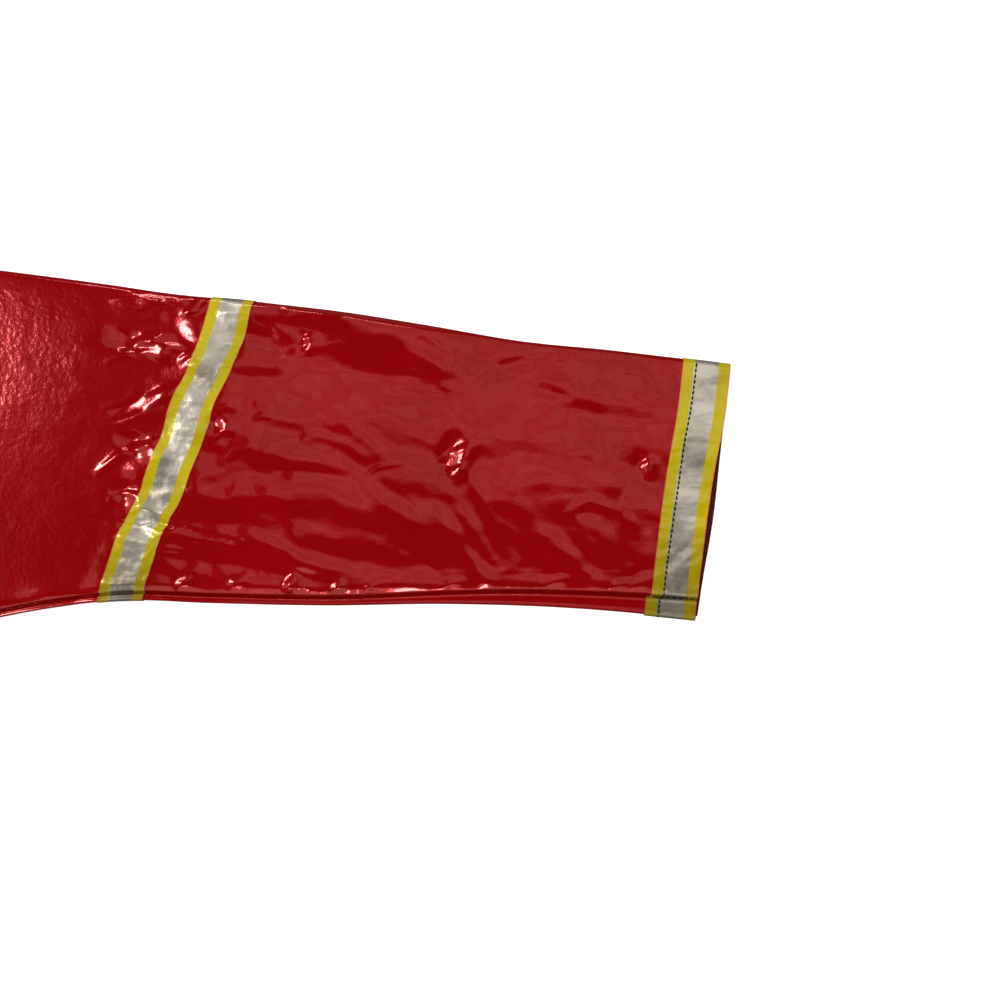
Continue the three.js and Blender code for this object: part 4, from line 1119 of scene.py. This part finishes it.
class Front(Panel):
    """The form of a front panel, from the overlap out."""

    def __init__(self, creases, seed, on_top):
        super().__init__(-OVERLAP_HALF, FRONT_NECK_DROP)
        self.creases = creases
        self.seed = seed
        self.on_top = on_top
        self.past_neck = smoothstep(self.x, *SHOULDER_STARTS)

    def loft(self):
        """Height of the smooth cloth over the back, the sleeve's end and the other front."""
        at_armhole = SLEEVE_CROWN * np.sqrt(np.sin(np.pi * self.armhole_share))
        at_armhole = at_armhole + ARMPIT_LOFT * smoothstep(self.armhole_share, 0, ARMPIT_REACH)
        side = 1 - (1 - np.clip(self.from_side / SIDE_RISE, 0, 1)) ** 2
        shoulder = 1 - self.past_neck * (1 - np.clip(self.from_shoulder / SHOULDER_RISE, 0, 1)) ** 2
        return HEIGHT_AT_SEAM + (at_armhole + (BODY_LOFT - at_armhole) * side) * shoulder

    def waves(self):
        """Crumpling and creases, which fade out at the edges and leave the placket nearly flat."""
        fade = smoothstep(self.from_side, *SIDE_FADE) * smoothstep(self.x, *CENTRE_FADE)
        fade = fade * smoothstep(self.from_shoulder, *SHOULDER_FADE) * smoothstep(self.from_hem, *HEM_FADE)
        waves = FRONT_WAVES * crumple(self.x * BODY_SCALE, self.y * BODY_SCALE, self.seed)
        waves = waves + crease_height(self.creases, self.x, self.y)
        placket = PLACKET_WAVES * crumple(self.x, self.y, self.seed + PLACKET_SEED)
        placket = placket * (1 - smoothstep(self.x, *PLACKET_FADE))
        placket = placket * smoothstep(self.from_hem, *PLACKET_HEM_FADE)
        placket = placket * smoothstep(self.from_neck, *PLACKET_NECK_FADE)
        return np.clip(fade * waves, FRONT_LOWEST, FRONT_HIGHEST) + placket

    def sewn(self):
        """How far the rows of sewing press the cloth in, with the hem's puckers."""
        pressed = stitch_groove(self.from_centre, FRONT_EDGE_STITCH, FRONT_EDGE_GROOVE)
        pressed = pressed + stitch_groove(self.from_centre, FACING_STITCH, FACING_GROOVE)
        pressed = pressed + stitch_groove(self.from_hem, HEM_STITCH, HEM_GROOVE)
        pucker = np.exp(-(((self.from_hem - HEM_STITCH) / HEM_PUCKER_WIDE) ** 2))
        return pressed - HEM_PUCKER * np.sin(self.x * HEM_PUCKER_TURN) * pucker

    def height(self):
        z = self.loft() + self.waves()
        if self.on_top:
            z = z + OVERLAP_STEP * (1 - smoothstep(self.x, *OVERLAP_FADE))
            z = z - TOP_EDGE_DROP * (1 - rounded(self.from_centre, TOP_EDGE_RADIUS))
        z = z - self.sewn()
        at_side = self.armhole_share == 0
        z = np.where(at_side, LOW_EDGE + (z - LOW_EDGE) * rounded(self.from_side, EDGE_RADIUS), z)
        roll = 1 - self.past_neck * (1 - rounded(self.from_shoulder, EDGE_RADIUS))
        z = LOW_EDGE + (z - LOW_EDGE) * np.where(at_side, 1, roll)
        groove = np.where(at_side, 0, np.exp(-((self.from_side / ARMHOLE_GROOVE_WIDE) ** 2)))
        z = z - ARMHOLE_GROOVE * groove * roll
        return z - NECK_GROOVE * np.exp(-((self.from_neck / NECK_GROOVE_WIDE) ** 2))

    def surface(self):
        place = self.place.copy()
        place[:, -1, 0] -= SEAM_GAP / 2
        return np.concatenate([place, self.height()[:, :, None]], axis=2)


def line_at(surface, distance, wanted, by_row):
    """The line on a surface at a wanted distance from an edge, one point a row or a column."""
    line = []
    lines = zip(surface, distance) if by_row else zip(surface.swapaxes(0, 1), distance.T)
    for points, gap in lines:
        if gap.min() <= wanted <= gap.max():
            order = np.argsort(gap)
            line.append([np.interp(wanted, gap[order], points[order, k]) for k in range(3)])
    return np.array(line[2:-2])


def sew_front(form, outer, side, flip):
    """Rows along the hem and the shoulder, and on the top front along its edge and its facing."""
    rows = []
    if form.on_top:
        rows.append(line_at(outer, form.from_centre, FRONT_EDGE_STITCH, True))
        rows.append(line_at(outer, form.from_centre, FACING_STITCH, True))
    rows.append(line_at(outer, form.from_hem, HEM_STITCH, False))
    past = form.neck_columns + 2
    rows.append(line_at(outer[:, past:], form.from_shoulder[:, past:], SHOULDER_STITCH, False))
    stitch_row(f"front_{side}_stitches", [row * flip for row in rows], **BODY_SEWING)


def build_front(side, creases, seed, on_top, mirror):
    form = Front(creases, seed, on_top)
    outer = form.surface()
    inner = outer.copy()
    inner[:, :, 2] = np.maximum(outer[:, :, 2] - CLOTH, CLOTH + UPPER_SPACE)
    points, faces = mirrored(*shell(inner, outer, False), mirror)
    lined = (0, inside_faces(inner, outer, False)[0])
    name = f"front_{side}"
    piece = add_cloth(f"{name}_panel", points, faces, [VINYL, LINING], name, lined=lined)
    sew_front(form, outer, side, side_flip(mirror))


def build_back(creases, seed):
    """The back, under the fronts, with every other row and column of a panel on each side."""
    form = Panel(0.0, BACK_NECK_DROP)

    def both(left, right):
        return np.concatenate([right[:, :0:-1], left], axis=1)[::2, ::2]

    place = both(form.place, form.place * np.array([-1, 1]))
    from_side, from_shoulder, from_hem = (both(gap, gap) for gap in
                                          (form.from_side, form.from_shoulder, form.from_hem))
    x, y = place[:, :, 0], place[:, :, 1]
    fade = smoothstep(from_side, *BACK_SIDE_FADE) * smoothstep(from_shoulder, *BACK_SHOULDER_FADE)
    fade = fade * smoothstep(from_hem, *BACK_HEM_FADE)
    waves = BACK_WAVES * crumple(x * BODY_SCALE, y * BODY_SCALE, seed) - BACK_WAVES_DROP
    lift = np.clip(waves + crease_height(creases, x, y), 0, BACK_HIGHEST) * fade
    lower = np.concatenate([place, lift[:, :, None]], axis=2)
    upper = lower + np.array([0, 0, CLOTH])
    points, faces = shell(lower, upper, False)
    lined = inside_faces(lower, upper, False)
    piece = add_cloth("back_panel", points, faces, [VINYL, LINING], "back", lined=lined)


# The collar, as a strip from the centre front round the back of the neck to the centre front again.
COLLAR_FRONT_HEIGHT = 42.0
COLLAR_LEAN = 9.0
COLLAR_BACK_DIP = 4.0
COLLAR_CLEARANCE = 0.4
COLLAR_CLOTH = 0.9
COLLAR_CELLS = 26
COLLAR_NECK_STEPS = 37
COLLAR_TURN_STEPS = 13
COLLAR_TOP_Y = NECK_POINT[1] + COLLAR_RISE
COLLAR_FOLD = (2 * BODY_WALL + BODY_LOFT + SEAM_GAP) / 2
COLLAR_WAVES, COLLAR_SCALE, COLLAR_SEED = 0.55, 1.3, 31
COLLAR_STITCH = 4.0
COLLAR_GROOVE, COLLAR_GROOVE_WIDE = 0.25, 0.8


def collar_stations():
    """Places round the neck as (side, degrees along the neckline, degrees of turn round the fold),
    with a turn of 90 on the front of the coat and -90 on its back."""
    angles = np.linspace(0, 90, COLLAR_NECK_STEPS)
    turns = np.linspace(90, -90, COLLAR_TURN_STEPS)[1:-1]
    stations = [(1, angle, 90.0) for angle in angles]
    stations += [(1, 90.0, turn) for turn in turns]
    stations += [(1, angle, -90.0) for angle in angles[::-1]]
    right = [(-1, angle, turn) for _, angle, turn in stations[:-1][::-1]]
    return (stations + right)[::-1]


def collar_column(station, out):
    """Points of the collar from its seam to its free edge, moved out of it by a distance."""
    side, angle, turn = station
    on_front = turn == 90.0
    seam = neck_at(angle, NECK_HALF - COLLAR_CLEARANCE, FRONT_NECK_DROP if on_front else BACK_NECK_DROP)
    seam[1] += COLLAR_CLEARANCE if on_front else COLLAR_CLEARANCE * 2
    share = math.sin(math.radians(angle))
    front = NECK_POINT[1] - FRONT_NECK_DROP + COLLAR_FRONT_HEIGHT
    middle = front if on_front else COLLAR_TOP_Y - COLLAR_BACK_DIP
    free = np.array([(NECK_HALF - COLLAR_CLEARANCE - COLLAR_LEAN) * share,
                     middle + (COLLAR_TOP_Y - middle) * share ** 3])
    turn = math.radians(turn)
    tuck = COLLAR_FOLD * (angle / 90) ** 4
    t = np.linspace(0, 1, COLLAR_CELLS + 1)
    place = seam + (free - seam) * t[:, None]
    end_gap = SEAM_GAP if on_front and angle == 0 else 0
    x = place[:, 0] - tuck + (COLLAR_FOLD + out) * math.cos(turn) + end_gap
    raised = on_front and side > 0
    step = OVERLAP_STEP * (1 - smoothstep(place[:, 0], *OVERLAP_FADE)) if raised else 0
    waves = crumple(side * x * COLLAR_SCALE, place[:, 1] * COLLAR_SCALE, COLLAR_SEED)
    waves = COLLAR_WAVES * waves * np.sqrt(np.sin(np.pi * np.clip(t, 0, 1)))
    from_edge = (1 - t) * np.linalg.norm(free - seam)
    groove = COLLAR_GROOVE * np.exp(-(((from_edge - COLLAR_STITCH) / COLLAR_GROOVE_WIDE) ** 2))
    soft = (waves - groove) * (math.sin(turn) if on_front else 0)
    z = COLLAR_FOLD + (COLLAR_FOLD + out) * math.sin(turn) + step + soft
    return np.stack([side * x, place[:, 1], np.maximum(z, 0)], axis=1)


def build_collar():
    stations = collar_stations()
    outer = np.array([collar_column(station, 0) for station in stations])
    inner = np.array([collar_column(station, -COLLAR_CLOTH) for station in stations])
    points, faces = shell(inner, outer, False)
    piece = add_cloth("collar_strip", points, faces, [VINYL], "collar")
    share = COLLAR_STITCH / COLLAR_FRONT_HEIGHT
    line = outer[:, -1] + (outer[:, 0] - outer[:, -1]) * share
    line[:, 2] = outer[:, -1 - round(share * COLLAR_CELLS), 2]
    right, left = ([k for k, (side, _, turn) in enumerate(stations) if side == wanted and turn == 90.0]
                   for wanted in (-1, 1))
    stitch_row("collar_stitches", [line[right], line[left]], **BODY_SEWING)


# The caps of the press studs, as (share of the radius, share of the height).
STUD_COUNT = 5
STUD_RADIUS = 6.8
STUD_HEIGHT = 2.4
STUD_FROM_HEM = 85.0
STUD_FROM_NECK = 24.0
STUD_LEVEL = BODY_WALL * 3 + SEAM_GAP * 3 + BODY_LOFT
STUD_SIDES = 56
STUD_PROFILE = [(0.0, -0.13), (0.93, -0.13), (0.985, 0.0), (1.0, 0.14), (1.0, 0.3), (0.985, 0.42),
                (0.95, 0.53), (0.9, 0.6), (0.84, 0.61), (0.8, 0.585), (0.77, 0.57), (0.74, 0.6),
                (0.68, 0.7), (0.6, 0.8), (0.48, 0.89), (0.34, 0.95), (0.18, 0.99), (0.0, 1.0)]


def build_stud(number):
    low = HEM_Y + STUD_FROM_HEM
    high = NECK_POINT[1] - FRONT_NECK_DROP - STUD_FROM_NECK
    y = low + (high - low) * (number - 1) / (STUD_COUNT - 1)
    angles = np.linspace(0, 2 * math.pi, STUD_SIDES, endpoint=False)
    points = [(0, y, STUD_LEVEL + STUD_PROFILE[0][1] * STUD_HEIGHT)]
    for share, rise in STUD_PROFILE[1:-1]:
        radius, z = share * STUD_RADIUS, STUD_LEVEL + rise * STUD_HEIGHT
        points += [(radius * c, y + radius * s, z) for c, s in zip(np.cos(angles), np.sin(angles))]
    points.append((0, y, STUD_LEVEL + STUD_HEIGHT))
    around = [(k, (k + 1) % STUD_SIDES) for k in range(STUD_SIDES)]
    last = len(points) - 1 - STUD_SIDES
    faces = [(0, 1 + b, 1 + a) for a, b in around]
    for ring in range(1, last, STUD_SIDES):
        after = ring + STUD_SIDES
        faces += [(ring + a, ring + b, after + b, after + a) for a, b in around]
    faces += [(last + a, last + b, len(points) - 1) for a, b in around]
    add_piece(f"stud_{number}_cap", points, faces, [STEEL], f"stud_{number}")


# The floor, in metres, and the light of the world round it.
FLOOR_HALF = 6.0
FLOOR_BELOW = 0.0002
WORLD_STRENGTH = 0.12

# The camera looks down at the sleeve, tilted a little to the right.
TARGET = np.array([433.3, 157.1, 1.5])
CAMERA_DISTANCE = 408.0
CAMERA_TILT = 4.75
LENS = 35.0
SENSOR_WIDTH = 36.0
CLIP_START = 0.01

# Soft lights that shine at the sleeve: name, place, width and depth, and radiance.
SLEEVE_POINT = (0.433, 0.157, 0.0)
SOFTBOXES = [
    ("front", (0.2, -2.0, 1.6), (2.4, 1.6), 2.6),
    ("side", (-1.9, 0.2, 1.6), (1.6, 2.0), 1.6),
    ("window", (-0.85, 0.5, 1.3), (0.24, 0.28), 72.0),
    ("top strip", (-0.05, 1.75, 1.1), (0.9, 0.13), 32.0),
    ("glint", (0.12, -0.95, 1.2), (0.18, 0.18), 70.0),
]

# The lit ceiling, a dimmer strip at its edge, and its brighter parts: place, width and depth, and
# radiance. They shine straight down.
CEILING = [
    ((0.965, 1.107, 1.3), (2.27, 1.9), 1.4),
    ((0.85, 0.107, 1.31), (1.9, 0.1), 0.6),
    ((0.08, 0.36, 1.29), (0.24, 0.14), 0.8),
    ((0.33, 0.27, 1.288), (0.16, 0.2), 0.7),
    ((0.6, 0.24, 1.286), (0.22, 0.1), 0.8),
    ((0.47, 0.48, 1.284), (0.26, 0.16), 0.9),
    ((0.84, 0.4, 1.282), (0.2, 0.26), 0.8),
    ((1.12, 0.3, 1.28), (0.24, 0.16), 0.7),
    ((0.72, 0.72, 1.278), (0.36, 0.18), 0.8),
    ((0.2, 0.72, 1.276), (0.24, 0.26), 0.8),
    ((1.2, 0.66, 1.274), (0.3, 0.26), 0.7),
]


def add_floor():
    half = FLOOR_HALF
    mesh = bpy.data.meshes.new("floor")
    mesh.from_pydata([(-half, -half, 0), (half, -half, 0), (half, half, 0), (-half, half, 0)], [],
                     [(0, 1, 2, 3)])
    mesh.materials.append(floor_material())
    piece = bpy.data.objects.new("floor", mesh)
    piece.location.z = -FLOOR_BELOW
    piece.visible_glossy = False
    bpy.context.scene.collection.objects.link(piece)


def add_camera():
    data = bpy.data.cameras.new("camera")
    data.lens = LENS
    data.sensor_width = SENSOR_WIDTH
    data.clip_start = CLIP_START
    tilt = math.radians(CAMERA_TILT)
    piece = bpy.data.objects.new("camera", data)
    piece.location = (TARGET + CAMERA_DISTANCE * np.array([math.sin(tilt), 0, math.cos(tilt)])) * MM
    piece.rotation_euler = (0, tilt, 0)
    bpy.context.scene.collection.objects.link(piece)
    bpy.context.scene.camera = piece


def add_softbox(name, place, size, radiance, aim):
    """An area light of a given radiance, aimed at a point."""
    data = bpy.data.lights.new(name, "AREA")
    data.shape = "RECTANGLE"
    data.size, data.size_y = size
    data.energy = radiance * math.pi * size[0] * size[1]
    piece = bpy.data.objects.new(name, data)
    piece.location = place
    direction = Vector(aim) - Vector(place)
    piece.rotation_euler = direction.to_track_quat("-Z", "Y").to_euler()
    bpy.context.scene.collection.objects.link(piece)


def add_lights():
    world = bpy.data.worlds.new("studio")
    bpy.context.scene.world = world
    world.use_nodes = True
    background = world.node_tree.nodes["Background"]
    background.inputs["Color"].default_value = (1, 1, 1, 1)
    background.inputs["Strength"].default_value = WORLD_STRENGTH
    for number, (place, size, radiance) in enumerate(CEILING):
        add_softbox(f"ceiling {number + 1}", place, size, radiance, (place[0], place[1], 0.0))
    for name, place, size, radiance in SOFTBOXES:
        add_softbox(name, place, size, radiance, SLEEVE_POINT)


build_sleeve("left", LEFT_SLEEVE_CREASES, LEFT_SLEEVE_FACES, seed=3, mirror=False)
build_sleeve("right", RIGHT_SLEEVE_CREASES, RIGHT_SLEEVE_FACES, seed=11, mirror=True)
build_front("right", RIGHT_FRONT_CREASES, seed=17, on_top=False, mirror=True)
build_front("left", LEFT_FRONT_CREASES, seed=23, on_top=True, mirror=False)
build_back(BACK_CREASES, seed=29)
build_collar()
for number in range(1, STUD_COUNT + 1):
    build_stud(number)
add_floor()
add_camera()
add_lights()
bpy.context.scene.view_settings.view_transform = "Standard"
